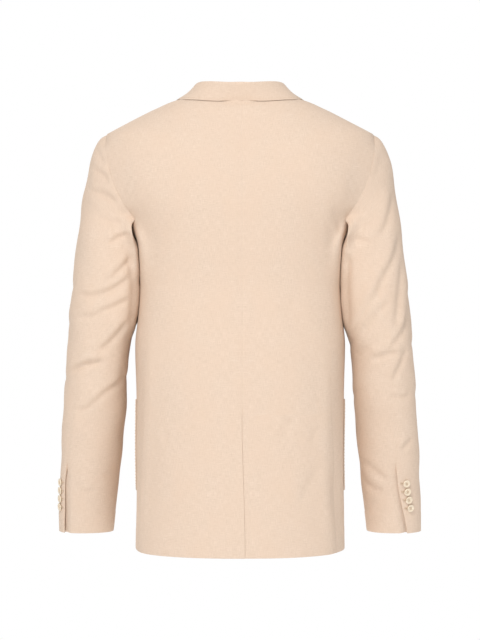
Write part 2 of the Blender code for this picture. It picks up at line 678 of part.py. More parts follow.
def sleeve_form(step, angle, rims):
    """Point of the left sleeve's form. Step runs 0 to 1 over the cap, then 1 to 2 down to the
    cuff. The angle in degrees runs from outwards through the back."""
    step, angle = np.broadcast_arrays(np.asarray(step, float), np.asarray(angle, float))
    turn = np.radians(angle)
    z = ring_height(step)
    width = read(RING, "z", "width", z) / 2
    depth = read(RING, "z", "depth", z) / 2
    c, s = np.cos(turn), np.sin(turn)
    power = RING_POWER + INNER_POWER * smooth(0, 1, -c) * smooth(-0.42, -0.36, z)
    reach = (np.abs(c / width) ** power + np.abs(s / depth) ** power) ** (-1 / power)
    centre_x, centre_y = read(RING, "z", "centre_x", z), read(RING, "z", "centre_y", z)
    ring = np.stack([centre_x + reach * c, centre_y + reach * s, z], -1)
    w = np.clip(step, 0, 1)
    behind = angle % 360 <= 180
    half = np.where(behind, angle % 360, 360 - angle % 360) / 180
    hole = np.where(behind[..., None], along_line(rims[0], half), along_line(rims[1], half))
    capped = hole * (1 - w)[..., None] + ring * w[..., None]
    for sign, end, name, fade in ((1, 0, "outer", 1.3), (-1, -1, "inner", 2.0)):
        far = np.array([RINGS[0][1] + sign * RINGS[0][3] / 2, 0, SLEEVE_RING_Z])
        straight = rims[0][end] * (1 - w)[..., None] + far * w[..., None]
        path_x = read(CAP_PATH, "step", name + "_x", w)
        path_z = read(CAP_PATH, "step", name + "_z", w)
        path = np.stack([path_x, straight[..., 1], path_z], -1)
        share = ((1 + sign * c) / 2) ** fade
        capped = capped + (path - straight) * share[..., None]
    return rested(np.where((step >= 1)[..., None], ring, capped), step)


def sleeve_skin(side, step, angle, rims, lift=0.0):
    """Point at a lift from a sleeve's outer face, with its folds, and the outward normal."""
    step, angle = np.broadcast_arrays(np.asarray(step, float), np.asarray(angle, float))
    ahead, back = np.clip(step + 0.004, 0.001, 2), np.clip(step - 0.004, 0.001, 2)
    down = sleeve_form(ahead, angle, rims) - sleeve_form(back, angle, rims)
    around = sleeve_form(step, angle + 0.5, rims) - sleeve_form(step, angle - 0.5, rims)
    flip = np.array([SIDE_SIGN[side], 1, 1])
    here = sleeve_form(step, angle, rims) * flip
    normal = unit(np.cross(down, around)) * flip
    drop = fold_depth(here, normal[..., 1], SLEEVE_FOLDS[side]) * smooth(0.10, 0.45, step)
    lift = np.asarray(lift, float) - drop
    return here + normal * lift[..., None], normal


def sleeves():
    """Two-piece sleeves with open cuffs, and the buttons beside each cuff's vent."""
    vent_step = ring_step(CUFF_VENT_TOP_Z)
    low = np.linspace(1, 2, SLEEVE_ROWS + 1)[1:]
    low[np.argmin(np.abs(low - vent_step))] = vent_step
    steps = np.concatenate([CAP_STEPS, low])
    z = ring_height(steps)
    open_cuff = steps > vent_step - 1e-6
    front = np.full(len(z), FRONT_SEAM_ANGLE)
    drop = UNDER_DROP * smooth(vent_step - 0.16, vent_step - 0.06, steps)
    for side, sign in SIDE_SIGN.items():
        flip = np.array([sign, 1, 1])
        rims = [body_skin(levels, sign * angles)[0] * flip for levels, angles in armhole()]
        seam = read(SEAM_ANGLE, "z", side, z)
        top = spread(front - 360, seam, TOP_SLEEVE_COLUMNS)
        sleeve_piece("sleeve_top_" + side, side, steps, top, rims, np.zeros(top.shape))
        first = seam - np.where(open_cuff, CUFF_LAP_ANGLE, 0.0)
        clear = seam + np.where(open_cuff, 3.0, 2.0)
        covered = np.stack([first, (first + clear) / 2, clear], axis=1)
        rest = spread(seam + 15.0, front, UNDER_SLEEVE_COLUMNS - 1)
        under = np.concatenate([covered, rest], axis=1)
        lift = np.zeros(under.shape)
        lift[:, :3] = -drop[:, None]
        sleeve_piece("sleeve_under_" + side, side, steps, under, rims, lift)
        for number, height in enumerate(CUFF_BUTTON_Z, 1):
            turn = read(SEAM_ANGLE, "z", side, height) - CUFF_BUTTON_ANGLE
            place, normal = sleeve_skin(side, ring_step(height), turn, rims, LAY_GAP)
            name = f"cuff_button_{side}_{number}"
            button(name, place, normal, CUFF_BUTTON_RADIUS, CUFF_BUTTON_DEPTH, 12)


def sleeve_piece(name, side, steps, angles, rims, lift):
    """One piece of a sleeve, its top edge set just off the armhole."""
    grid_steps = np.repeat(steps[:, None], angles.shape[1], axis=1)
    outer, normal = sleeve_skin(side, grid_steps, angles, rims, lift)
    inner = outer - normal * WALL
    ends = ("first", "last")
    for layer in (outer, inner):
        layer[0] += np.array([SIDE_SIGN[side] * 0.96, 0.0, -0.27]) * ARMHOLE_GAP
    cloth(name, trimmed(outer, ends, SLEEVE_SEAM_GAP / 2), trimmed(inner, ends, SLEEVE_SEAM_GAP / 2))


def button(name, place, normal, radius, depth, around):
    """Round button with a raised rim, its flat back on the cloth."""
    z_axis = unit(np.asarray(normal, float))
    x_axis = unit(np.cross(z_axis, np.array([0.0, 0.2, 1.0])))
    y_axis = np.cross(z_axis, x_axis)
    rings = BUTTON_PROFILE[1:-1]
    points, faces = [place], []
    for share, rise in rings:
        for k in range(around):
            turn = 2 * math.pi * k / around
            flat = x_axis * math.cos(turn) + y_axis * math.sin(turn)
            points.append(place + flat * share * radius + z_axis * rise * depth)
    points.append(place + z_axis * BUTTON_PROFILE[-1][1] * depth)
    top_base = 1 + (len(rings) - 1) * around
    for k in range(around):
        after = (k + 1) % around
        faces.append([0, 1 + after, 1 + k])
        for base in range(1, top_base, around):
            faces.append([base + k, base + after, base + around + after, base + around + k])
        faces.append([top_base + k, top_base + after, len(points) - 1])
    solid(name, points, faces, BUTTON_COLOUR, 0.35)


def front_buttons():
    """Two buttons on the left front's centre line."""
    for number, height in enumerate(BUTTON_Z, 1):
        level, angle = front_place(0.0, height)
        place, normal = body_skin(level, angle, LAY_GAP)
        button(f"front_button_{number}", place, normal, FRONT_BUTTON_RADIUS, FRONT_BUTTON_DEPTH, 18)


def grid_normals(grid):
    """Unit normals of a grid of points."""
    down, across = np.gradient(grid, axis=0), np.gradient(grid, axis=1)
    return unit(np.cross(down, across))


def laid(points, least, most):
    """Points kept between two heights over the body's outer face."""
    levels, angles = np.meshgrid(np.linspace(-0.13, NECK_Z, 90), np.linspace(0, math.pi * 0.9, 160))
    skin, normal = body_skin(levels, angles)
    skin, normal = skin.reshape(-1, 3), normal.reshape(-1, 3)
    nearest = np.linalg.norm(points[:, None] - skin, axis=-1).argmin(axis=1)
    height = ((points - skin[nearest]) * normal[nearest]).sum(-1)
    return points + normal[nearest] * (np.clip(height, least, most) - height)[:, None]


def collar():
    """Collar with stand and fall, from notch round the back of the neck to notch."""
    half = np.array(COLLAR_STEPS)
    foot, normal = neckline(half)
    edge = np.stack([read(COLLAR_SHAPE, "along", name, half) for name in COLLAR_COLUMNS[2:]], -1)
    least = LAPEL_GAP + LEAF_WALL + LAY_GAP
    edge = laid(edge, least, np.where(half > 0.75, least + 0.0006, 1.0))
    turned = smooth(0.9, 1.5, half)[:, None]
    tangent = edge - foot - normal * ((edge - foot) * normal).sum(-1, keepdims=True)
    level_out = unit(foot * np.array([1.0, 1.0, 0.0]))
    out = unit(level_out * (1 - turned) + unit(tangent) * turned)
    up = unit(np.array([0.0, 0.0, 1.0]) * (1 - turned) + normal * turned)
    crown = read(COLLAR_SHAPE, "along", "crown_up", half)[:, None]
    lines = []
    for row in STAND:
        line = dict(zip(STAND_COLUMNS, row))
        drop = line["drop"] * (np.minimum(1, crown / 0.012) if line["drop"] > 0 else 1)
        lines.append(foot + out * line["out"] + up * (crown * line["share"] - drop))
    for share in LEAF_SHARES:
        lines.append(laid(lines[len(STAND) - 1] * (1 - share) + edge * share, least, 1.0))
    lines.append(edge)
    grid = np.stack(lines, axis=1)
    slope = (LAPEL_TIP[1] - GORGE_START[1]) / (LAPEL_TIP[0] - GORGE_START[0])
    ends = [(x, GORGE_START[1] + slope * (x - GORGE_START[0]) + GORGE_GAP) for x in GORGE_X]
    for column, (x, z) in enumerate(ends + [COLLAR_TIP], len(STAND)):
        level, angle = front_place(x, z)
        grid[-1, column] = body_skin(level, angle, least)[0]
    mirrored = grid[:0:-1] * np.array([-1.0, 1.0, 1.0])
    grid = np.concatenate([mirrored, grid])
    facing = grid_normals(grid)
    if facing[len(grid) // 2, -1, 1] < 0:
        facing = -facing
    cloth("collar", grid, grid - facing * LEAF_WALL)


def build():
    for item in list(bpy.data.objects):
        bpy.data.objects.remove(item)
    backs()
    side_grids = sides()
    front_grids = fronts()
    pockets(side_grids, front_grids)
    lapels()
    collar()
    sleeves()
    front_buttons()


build()
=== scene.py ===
"""Single breasted blazer, filled out as worn and empty inside, dressed in its cloth."""
from math import acos, atan2, cos, pi, sin

import bpy
import numpy as np
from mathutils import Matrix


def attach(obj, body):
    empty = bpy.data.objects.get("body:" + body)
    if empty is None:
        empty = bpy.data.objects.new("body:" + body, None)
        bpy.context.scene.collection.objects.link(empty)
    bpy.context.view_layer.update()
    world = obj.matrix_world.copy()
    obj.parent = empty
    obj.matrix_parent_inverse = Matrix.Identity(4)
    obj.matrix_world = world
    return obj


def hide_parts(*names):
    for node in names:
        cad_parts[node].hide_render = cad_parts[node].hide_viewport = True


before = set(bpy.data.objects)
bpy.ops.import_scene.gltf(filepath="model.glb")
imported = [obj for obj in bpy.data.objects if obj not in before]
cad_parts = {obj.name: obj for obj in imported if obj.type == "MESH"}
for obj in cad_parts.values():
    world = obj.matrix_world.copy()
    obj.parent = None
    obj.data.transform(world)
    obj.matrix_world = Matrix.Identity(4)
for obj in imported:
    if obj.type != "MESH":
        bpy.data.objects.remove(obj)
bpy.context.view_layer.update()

# Sizes of the solids
WALL = 0.0019
LEAF_WALL = 0.0017
THIN_WALL = 0.0006  # of an edge that is pressed flat on the cloth under it
LAY_GAP = 0.0007
LAPEL_GAP = 0.0017
UNDER_DROP = 0.0030
SHOULDER_Z = -0.0545
UNDERARM_Z = -0.200
UNDERARM_DIP = 0.012
NECK_Z = 0.008
HEM_Z = -0.734
VENT_TOP_Z = -0.511
VENT_LAP = 0.034
BREAK_Z = -0.392
LAPEL_CROSS_Z = -0.364
BUTTON_Z = (-0.412, -0.522)
FRONT_BUTTON = (0.0100, 0.0038)  # radius and depth
CUFF_BUTTON = (0.0064, 0.0026)
CUFF_BUTTON_Z = (-0.6290, -0.6430, -0.6570, -0.6710)
CUFF_BUTTON_ANGLE = 17.0
SLEEVE_RING_Z = -0.2445
RING_POWER = 2.2
INNER_POWER = 0.5
REST_GAP = 0.0003
REST_SOFTNESS = 0.0018
CUFF_VENT_TOP_Z = -0.616
CUFF_LAP_ANGLE = 24.0
FRONT_SEAM_ANGLE = 232.0
GORGE_START = (0.0600, -0.0550)
NOTCH_X = 0.1000
LAPEL_TIP = (0.1330, -0.0985)
COLLAR_TIP = (0.1245, -0.0590)
GORGE_GAP = 0.0014

# Sewing
STITCH_GAP = 0.00001  # half of the slit between two pieces sewn together
SEAM_DIP = 0.00026  # how far cloth sinks at a seam
SEAM_WIDTH = 0.0022
FAINT = 0.12  # share of that where a pressed seam hardly shows
FOLD_DEPTH = {"back": 2.0, "front": 1.6, "out": 0.5}  # of the sleeves' creases, as shares of their rows' depths
ARMHOLE_RISE = 0.0066  # how far cloth fills out beside an armhole
ARMHOLE_REACH = 0.033
CREVICE_REACH = 0.013
NECK_TURN = 0.0030  # how far the neck edge runs up between the collar's stand and fall
HEM_LINE = 0.036  # height of a turned hem above its edge
STITCH_PITCH = 0.0052
STITCH_LENGTH = 0.0022
STITCH_RADIUS = 0.00030
STITCH_INSET = 0.0042  # from the edge that the stitches follow
POCKET_INSET = 0.0026
POCKET_SPAN = (0.531, 3 / 7)  # share of the front and of the side where a pocket starts and ends
POCKET_CORNER = 0.024

# Resolution
BACK_COLUMNS = 50
SIDE_COLUMNS = 34
FRONT_COLUMNS = 54
TOP_SLEEVE_COLUMNS = 70
UNDER_SLEEVE_COLUMNS = 44

# Cloth, studio and camera
WEAVE_PITCH = 0.0011
TONE = {
    "deep": (0.660, 0.511, 0.393, 1.0),
    "pale": (0.787, 0.633, 0.514, 1.0),
    "warm": (0.737, 0.565, 0.436, 1.0),
    "slub": (0.836, 0.700, 0.593, 1.0),
}
WORLD_LIGHT = 0.60
FLOOR_Z = -1.25
FLOOR_RADIUS = 1.9
LAMPS = (
    ("key", (0.8, 3.0, 1.8), (0.0, 0.0, -0.30), 1.1, 83.0, (1.0, 0.99, 0.985)),
    ("fill", (-2.5, 1.9, 0.3), (0.0, 0.0, -0.40), 1.2, 12.0, (1.0, 0.99, 0.98)),
    ("front", (0.8, -3.4, 1.2), (0.0, 0.0, -0.35), 1.6, 40.0, (1.0, 0.99, 0.98)),
)
HOLES = ((-0.17, -0.17), (0.17, -0.17), (0.17, 0.17), (-0.17, 0.17))  # shares of a button's radius
HOLE_RADIUS = 0.095

SIDES = (("left", 1), ("right", -1))
NOT_LENGTHS = ("power", "step", "along", "left", "right")


def columns(names, *rows):
    """A table's columns by name. Its rows are in millimetres, its columns in metres."""
    named = zip(names.split(), np.array(rows, float).T)
    return {name: values / (1 if name in NOT_LENGTHS else 1000) for name, values in named}


# Body sections: each level's height at side, back and front, its half width and depths
SECTION = columns(
    "side_z back_z front_z half_width back_depth front_depth power",
    (-734, -734, -750, 171.6, 146, 136, 2.5),
    (-620, -620, -630, 170.4, 142, 133, 2.5),
    (-490, -490, -494, 170, 135, 128, 2.5),
    (-400, -400, -400, 172.5, 126, 121, 2.5),
    (-350, -350, -350, 167.8, 118, 117, 2.5),
    (-300, -300, -300, 165, 113, 115, 2.5),
    (-245, -245, -245, 166.5, 116, 121, 2.5),
    (-200, -200, -200, 182, 119, 124, 2.5),
    (-172, -172, -172, 200, 121, 123, 2.5),
    (-147, -150, -152, 212.5, 120.5, 120, 2.5),
    (-118, -126, -130, 220, 119, 116, 2.45),
    (-92, -107, -114, 222.4, 116.5, 110, 2.35),
    (-70, -93, -101, 222.2, 113, 103, 2.2),
    (-54.5, -82, -92, 219, 108.5, 96, 2.1),
    (-53.7, -81.2, -91.3, 217.6, 108.2, 95.6, 2.1),
    (-32.5, -61, -73, 178, 98.5, 84, 2.05),
    (-12, -37, -52, 137, 86.5, 71, 2.05),
    (1.5, -18, -32, 104, 77, 61, 2.1),
    (8, -8, -18, 72, 68, 53, 2.1),
)

# Seams between back, side and front, as their Y at each level. Above the underarm they are
# the back and front edges of the armhole
EDGE = columns(
    "z back_y front_y",
    (-734, 77, -78),
    (-620, 81, -78),
    (-490, 85, -76),
    (-310, 74.5, -70),
    (-240, 64, -64),
    (-200, 58, -60),
    (-172, 60, -62),
    (-147, 58, -60),
    (-118, 52, -52),
    (-92, 42, -41),
    (-70, 26.5, -25.5),
    (-60, 14.5, -14),
    (-54.5, 0, 0),
)

# How far cloth fills out between sleeve and body below an armhole
CREVICE = columns(
    "z rise",
    (-305, 0),
    (-268, 12),
    (-245, 21),
    (-226, 24),
    (-208, 14),
    (-188, 0),
)

# Free edge of each front, seen from the front: rounded hem, straight edge, then roll line
FREE = columns(
    "z x",
    (-750, 90),
    (-744, 64),
    (-730, 45),
    (-705, 29),
    (-660, 11),
    (-600, -4),
    (-520, -15),
    (-420, -18),
    (-392, -16),
    (-350, -6),
    (-200, 30),
    (-55, 60),
    (-20, 66),
    (8, 71.4),
)

# Outer edge of a lapel
LAPEL = columns(
    "z x",
    (-390, -4),
    (-365, 22),
    (-320, 56),
    (-260, 88),
    (-200, 111),
    (-140, 126.5),
    (-98.5, 133),
)

# Sleeve cap: paths of its outermost and innermost lines from armhole to first level ring
CAP = columns(
    "step outer_x outer_z inner_x inner_z",
    (0, 219.5, -54.5, 178, -212),
    (0.07, 229, -60, 179.6, -214),
    (0.18, 239, -76, 179, -217.5),
    (0.4, 250.5, -117, 174.5, -224),
    (0.7, 261, -180, 168.5, -233.5),
    (1, 269, -244.5, 163, -244.5),
)

# Sleeve rings below the cap, the same for both sleeves
RING = columns(
    "z centre_x centre_y width depth",
    (-244.5, 216, 0, 106, 130),
    (-285, 217.45, 3, 112.9, 128),
    (-327, 219.6, 4, 116.2, 125),
    (-360, 224.2, 4, 114.2, 122),
    (-393, 231.5, 3, 104.6, 119),
    (-442.5, 236, -2, 102.2, 116),
    (-490, 239.3, -8, 102.2, 112),
    (-575, 246.3, -25, 99.8, 103),
    (-624.5, 251.2, -37, 98.4, 99),
    (-657, 254.2, -45, 96.3, 95),
    (-714, 258.5, -60, 90.9, 90),
)

# Angle of the sleeve's back seam at each level, in degrees from outwards towards the back
SLEEVE_SEAM = columns(
    "z left right",
    (-244.5, 92, 96),
    (-410, 66, 77),
    (-550, 50, 82),
    (-616, 43.5, 82),
    (-714, 45, 66),
)

# Collar: how far along from the centre back (1 at the shoulder seam, 2 at the gorge), how high
# its crown stands over its foot, and where the edge of its leaf runs
COLLAR = columns(
    "along crown_up edge_x edge_y edge_z",
    (0, 31.6, 0, 74.5, -1.2),
    (0.3, 29.4, 33.5, 72.5, 0.2),
    (0.6, 25.2, 68, 59.5, -0.8),
    (0.8, 20.6, 89, 40, -5.5),
    (1, 13.8, 103, 4, 3.5),
    (1.3, 11, 113, -30, -18),
    (1.65, 7, 121.5, -50, -42),
    (2, 4.2, 124.5, -65, -59),
)

# Creases by the view that their lines are placed in: depth of the trough, half its width, share
# of the depth that the ridge beside it rises, and the line's points one after another, as X and Z
# from behind or in front, or Y and Z from outside. Lengths are in millimetres. The ridge is above
# the trough, or on its +X or +Y side where the trough runs upright, and a negative one is opposite
BODY_CREASES = {
    "back": (
        (2, 6, 0.6, -148.7, -176.5, -164.5, -224),
        (1.4, 6, 0.5, -140.8, -198.7, -151.8, -241.4),
        (1.6, 14, 0.3, -74.3, -323.6, -94.9, -371.1, -121.8, -402.7),
        (1, 14, 0.3, -20.6, -333.1, -23.7, -391.6, -26.9, -454.9),
        (1.4, 7.5, 0.5, -83.5, -512.9, -66.2, -550.7),
        (1.3, 7, 0.4, -121.4, -530.2, -113.5, -557),
        (1.8, 9, 0.4, -119.8, -599.6, -108.7, -624.8, -96.1, -654.7),
        (1, 5, 0.4, 121.4, -525.5, 116.6, -558.6),
        (0.7, 7, 0.3, 63.3, -670, 26.9, -679.5),
        (0.6, 6, 0.3, -50.6, -701.7, -69.6, -703.2),
        (-3, 11, 0, -135, -420, -137.9, -550, -137.9, -652, -144, -685, -152, -760),
        (3, 10, 0, -154, -600, -160, -780),
        (-3, 11, 0, 142, -360, 147.6, -498, 155.7, -611, 160.6, -652, 167, -780),
    ),
    "front": (
        (2.4, 11, 0.4, 22, -426, 75, -406, 130, -376),
        (1.6, 9, 0.4, 18, -442, 60, -448, 118, -430),
        (1.4, 10, 0.4, 24, -396, 62, -356, 98, -306),
        (2.2, 11, 0.4, -26, -428, -75, -412, -126, -390),
        (1.4, 9, 0.4, -26, -446, -72, -456, -122, -444),
        (2.2, 8, 0.5, 164, -170, 156, -215, 143, -256),
        (1.4, 8, 0.5, 150, -175, 144, -212),
        (2, 8, 0.5, -165, -176, -159, -220, -145, -260),
        (1.2, 12, 0.3, 110, -560, 106, -730),
        (1.2, 12, 0.3, -106, -550, -102, -730),
        (1, 10, 0.3, 40, -540, 52, -690),
        (1, 10, 0.3, -46, -550, -54, -690),
    ),
}
SLEEVE_CREASES = {
    "left": {
        "back": (
            (2.2, 7.5, 0, 174.8, -242, 172.8, -279, 171.2, -311.4, 172.8, -352, 175.3, -385),
            (1.2, 5.5, 0.5, 231.9, -84.3, 225.5, -97.2, 221.4, -110.2),
            (1.4, 5, 0.5, 237.6, -115.1, 221.1, -124.8, 210, -139.4),
            (1.5, 5.5, 0.5, 247.4, -150.8, 227.1, -154.8, 210.9, -161.3, 196.3, -174.3),
            (0.8, 6, 0.5, 235.2, -191.3, 210.9, -199.4, 183.3, -205.9),
            (1.4, 4.5, 0.6, 176, -221.3, 194.6, -226.2, 212.5, -239.2),
            (1.6, 4.5, 0.6, 176, -261.1, 193, -278.9, 212.5, -301.6),
            (1.8, 5, 0.6, 176.8, -290.3, 198.7, -307.3, 219, -317.3, 243.3, -321.1, 266, -317),
            (1.7, 5, 0.6, 176.8, -325.9, 198.7, -337.3, 219, -345.4, 243.3, -355.9, 267.6, -355.9),
            (1.6, 5, 0.6, 180, -360, 198.7, -384.3, 214.9, -402.2, 231.9, -411.9),
            (2.6, 5, 0.6, 222.2, -428.9, 243.3, -431.4, 263.6, -437.9, 279, -446),
            (0.8, 5.5, 0.5, 182.5, -411.9, 190.6, -450.8),
            (1.3, 5, 0.6, 184.9, -447.6, 198.7, -465.4, 219, -479.5, 235.2, -493.8, 251.4, -506, 272.5,
             -507.6),
            (0.6, 4, 0.5, 223.8, -616.3, 207.6, -611.4),
            (0.7, 4, 0.6, 259.5, -644.7, 235.2, -640.6),
        ),
        "front": (
            (2.2, 6, 0.6, 183, -238, 205, -256, 218, -280),
            (3.2, 7, 0.6, 186, -295, 212, -318, 248, -333),
            (3.8, 7, 0.6, 185, -343, 215, -366, 260, -378),
            (3, 6.5, 0.6, 196, -388, 224, -408, 266, -412),
            (2.8, 6.5, 0.6, 194, -436, 220, -456, 248, -462),
            (1.6, 7, 0.5, 225, -510, 252, -545),
        ),
        "out": (
            (2, 7, 0.5, 40, -290, 5, -308, -35, -300),
            (2.6, 7, 0.5, 35, -356, -5, -368, -45, -378),
            (2.4, 7, 0.5, 45, -442, 10, -456, -30, -448),
            (1.4, 8, 0.4, 20, -530, -25, -560),
        ),
    },
    "right": {
        "back": (
            (2.6, 8, 0, -172.2, -250, -170.8, -279, -170, -311.4, -171.4, -352, -173.6, -385),
            (0.8, 9, 0.5, -228.7, -85.9, -225, -112.6, -212.5, -134.5),
            (1.6, 5.5, 0.5, -250.6, -152.4, -245.7, -177.5, -241.2, -193.7, -233.1, -214, -220.6, -228.6),
            (0.9, 5, 0.5, -182.5, -230.2, -198.7, -231.9, -212.5, -239.2),
            (2.2, 6, 0.6, -259.5, -220.5, -253, -250.5, -241.2, -276.8, -231.1, -295.1, -220.6, -321.1,
             -210.9, -342.2),
            (1.3, 5, 0.5, -243.3, -329.2, -223, -347.8, -208.8, -366, -194.6, -381.9),
            (0.9, 4.5, 0.5, -215.7, -316.2, -202.7, -343.8, -188.2, -372.2, -178.4, -390.8),
            (1.8, 5.5, -0.6, -264.4, -259.4, -260.3, -311.3, -255.5, -351.9, -249.8, -381.1),
            (1.8, 5, 0.6, -277.4, -345.4, -265.5, -376.2, -251.4, -396.5, -237.6, -410.3),
            (2, 5, 0.6, -262.8, -412.7, -235.2, -416.8, -210.9, -426.5),
            (1.6, 5, 0.6, -269.3, -405.4, -261.1, -433, -246.5, -460.6),
            (0.8, 8, 0.5, -214.1, -405.4, -181.7, -416.8),
            (1.2, 4.5, 0.6, -243.3, -480.8, -255.5, -486.5, -269.3, -485.7, -280.6, -476.8),
            (1.4, 4.5, 0.6, -281.4, -554.6, -264.4, -574.1),
            (1.1, 6, -0.6, -196.3, -588.7, -214.9, -603.3, -231.1, -617.4, -248.2, -629.3),
            (1, 5.5, -0.6, -201.1, -626, -219, -637.4, -236.8, -642.2),
        ),
        "front": (
            (2.4, 6.5, 0.6, -185, -252, -208, -270, -225, -276),
            (3.2, 7, 0.6, -188, -286, -215, -312, -246, -320),
            (3.8, 7, 0.6, -188, -346, -220, -372, -262, -390),
            (2.8, 6.5, 0.6, -195, -400, -226, -424, -256, -426),
            (2.6, 6.5, 0.6, -200, -450, -230, -466, -262, -460),
            (1.4, 7, 0.5, -228, -530, -250, -560),
        ),
        "out": (
            (2.2, 7, 0.5, 35, -305, 0, -320, -40, -318),
            (2.6, 7, 0.5, 40, -390, 0, -402, -40, -396),
            (2, 7, 0.5, 40, -470, 5, -482, -30, -490),
        ),
    },
}


def through(xs, ys, at):
    """Smooth curve through (xs, ys) that never overshoots, for ascending xs."""
    xs, ys = np.asarray(xs, float), np.asarray(ys, float)
    at = np.clip(np.asarray(at, float), xs[0], xs[-1])
    step = np.diff(xs)
    slope = np.diff(ys) / step
    before, after = slope[:-1], slope[1:]
    same = before * after > 0
    safe_before, safe_after = np.where(same, before, 1.0), np.where(same, after, 1.0)
    heavy, light = 2 * step[1:] + step[:-1], step[1:] + 2 * step[:-1]
    inner = np.where(same, (heavy + light) / (heavy / safe_before + light / safe_after), 0.0)
    tangent = np.concatenate([[slope[0]], inner, [slope[-1]]])
    k = np.clip(np.searchsorted(xs, at, side="right") - 1, 0, len(xs) - 2)
    h = step[k]
    t = (at - xs[k]) / h
    return (
        ys[k] * (1 + 2 * t) * (1 - t) ** 2
        + ys[k + 1] * t * t * (3 - 2 * t)
        + h * tangent[k] * t * (1 - t) ** 2
        + h * tangent[k + 1] * t * t * (t - 1)
    )


def read(table, name, at):
    """A column of a table at a value of its first column, whichever way that one runs."""
    keys, values = next(iter(table.values())), table[name]
    if keys[0] > keys[-1]:
        keys, values = keys[::-1], values[::-1]
    return through(keys, values, at)


def smooth(low, high, x):
    """0 below low, 1 above high, easing between."""
    t = np.clip((np.asarray(x, float) - low) / (high - low), 0, 1)
    return t * t * (3 - 2 * t)


def unit(vectors):
    """Vectors of length 1 with the same directions."""
    return vectors / np.maximum(np.linalg.norm(vectors, axis=-1, keepdims=True), 1e-12)


def bowed(reach, share, power):
    """How far out an outline is, at a share of its other half axis."""
    return reach * (1 - np.minimum(np.abs(share), 1) ** power) ** (1 / power)


def section(level, behind):
    """Half width, depth and power of the body at a level."""
    names = ("half_width", "back_depth", "front_depth", "power")
    width, back, front, power = (read(SECTION, name, level) for name in names)
    return width, np.where(behind, back, front), power


def body_form(level, angle):
    """Point of the body at a level (its height at the side) and an angle from the centre back."""
    level, angle = np.broadcast_arrays(np.asarray(level, float), np.asarray(angle, float))
    s, c = np.sin(angle), np.cos(angle)
    width, depth, power = section(level, c > 0)
    reach = (np.abs(s / width) ** power + np.abs(c / depth) ** power) ** (-1 / power)
    far_z = np.where(c > 0, read(SECTION, "back_z", level), read(SECTION, "front_z", level))
    return np.stack([reach * s, reach * c, level + (far_z - level) * c * c], axis=-1)


def crease_depth(points, normal, views, deeper=()):
    """How far soft creases sink a surface at points, some views' creases deeper by a factor."""
    sunk = np.zeros(points.shape[:-1])
    towards = {"back": normal[..., 1], "front": -normal[..., 1], "out": np.abs(normal[..., 0])}
    for on, rows in views.items():
        flat = points[..., (1 if on == "out" else 0, 2)]
        seen = smooth(0.1, 0.6, towards[on])
        for depth, wide, ridge, *line in rows:
            depth, wide = depth / 1000 * dict(deeper).get(on, 1.0), wide / 1000
            knots = np.reshape(line, (-1, 2)) / 1000
            order = np.arange(len(knots))
            fine = np.linspace(0, order[-1], 4 * order[-1] + 1)
            line = np.stack([through(order, knots[:, i], fine) for i in (0, 1)], axis=-1)
            chord = knots[-1] - knots[0]
            across = np.array([-chord[1], chord[0]])
            across = across if across[1 if abs(chord[0]) > abs(chord[1]) else 0] > 0 else -across
            nearest = np.full(sunk.shape, 9.0)
            share, side = np.zeros(sunk.shape), np.ones(sunk.shape)
            for k, run in enumerate(np.diff(line, axis=0)):
                at = np.clip(((flat - line[k]) @ run) / (run @ run), 0, 1)
                gap = flat - line[k] - at[..., None] * run
                away = np.linalg.norm(gap, axis=-1)
                closer = away < nearest
                nearest = np.where(closer, away, nearest)
                share = np.where(closer, (k + at) / (len(line) - 1), share)
                side = np.where(closer, np.sign(gap @ across), side)
            beside = nearest * side * np.sign(ridge)
            trough = np.exp(-((nearest / wide) ** 2))
            crest = abs(ridge) * np.exp(-(((beside - 2.0 * wide) / (1.5 * wide)) ** 2))
            fade = smooth(-0.06, 0.16, share) * smooth(1.04, 0.74, share)
            sunk += depth * (trough - crest) * fade * seen
    return sunk


def ripples(points, size, depth, seed):
    """Gentle unevenness of cloth that hangs, with waves about so long."""
    chance = np.random.default_rng(seed)
    total = np.zeros(points.shape[:-1])
    for _ in range(10):
        heading = unit(chance.normal(size=3) * np.array([1.0, 1.0, 0.7]))
        wave = 2 * pi / (size * chance.uniform(0.7, 1.7))
        total += np.sin(points @ (heading * wave) + chance.uniform(0, 2 * pi))
    return depth * total / 3


def body_skin(level, angle, lift=0.0):
    """Point at a lift from the body's outer face, with its creases, and the outward normal."""
    nudge = 1e-4
    level, angle = np.asarray(level, float), np.asarray(angle, float)
    here = body_form(level, angle)
    up = body_form(level + nudge, angle) - body_form(level - nudge, angle)
    round_it = body_form(level, angle + nudge) - body_form(level, angle - nudge)
    normal = unit(np.cross(round_it, up)) * -1
    outward = np.sign((normal[..., :2] * here[..., :2]).sum(-1))
    normal = normal * np.where(outward == 0, 1, outward)[..., None]
    calm = smooth(0.0, -0.10, here[..., 2])
    sunk = crease_depth(here, normal, BODY_CREASES) + ripples(here, 0.085, 0.0007, 3) * calm
    return here + normal * (np.asarray(lift, float) - sunk)[..., None], normal


def angle_at_y(level, y):
    """Angle of the left side's point with a given Y at a level."""
    width, depth, power = section(level, np.asarray(y) > 0)
    return np.arctan2(bowed(width, y / depth, power), y)


def seam_angle(level, name):
    """Angle of the back or front seam, the armhole's edge or the shoulder seam at a level."""
    angle = angle_at_y(level, read(EDGE, name, level))
    return np.where(np.asarray(level) >= SHOULDER_Z, pi / 2, angle)


def back_angle(level, x):
    """Angle of the back's point with a given X at a level."""
    width, depth, power = section(level, True)
    return np.arctan2(x, bowed(depth, x / width, power))


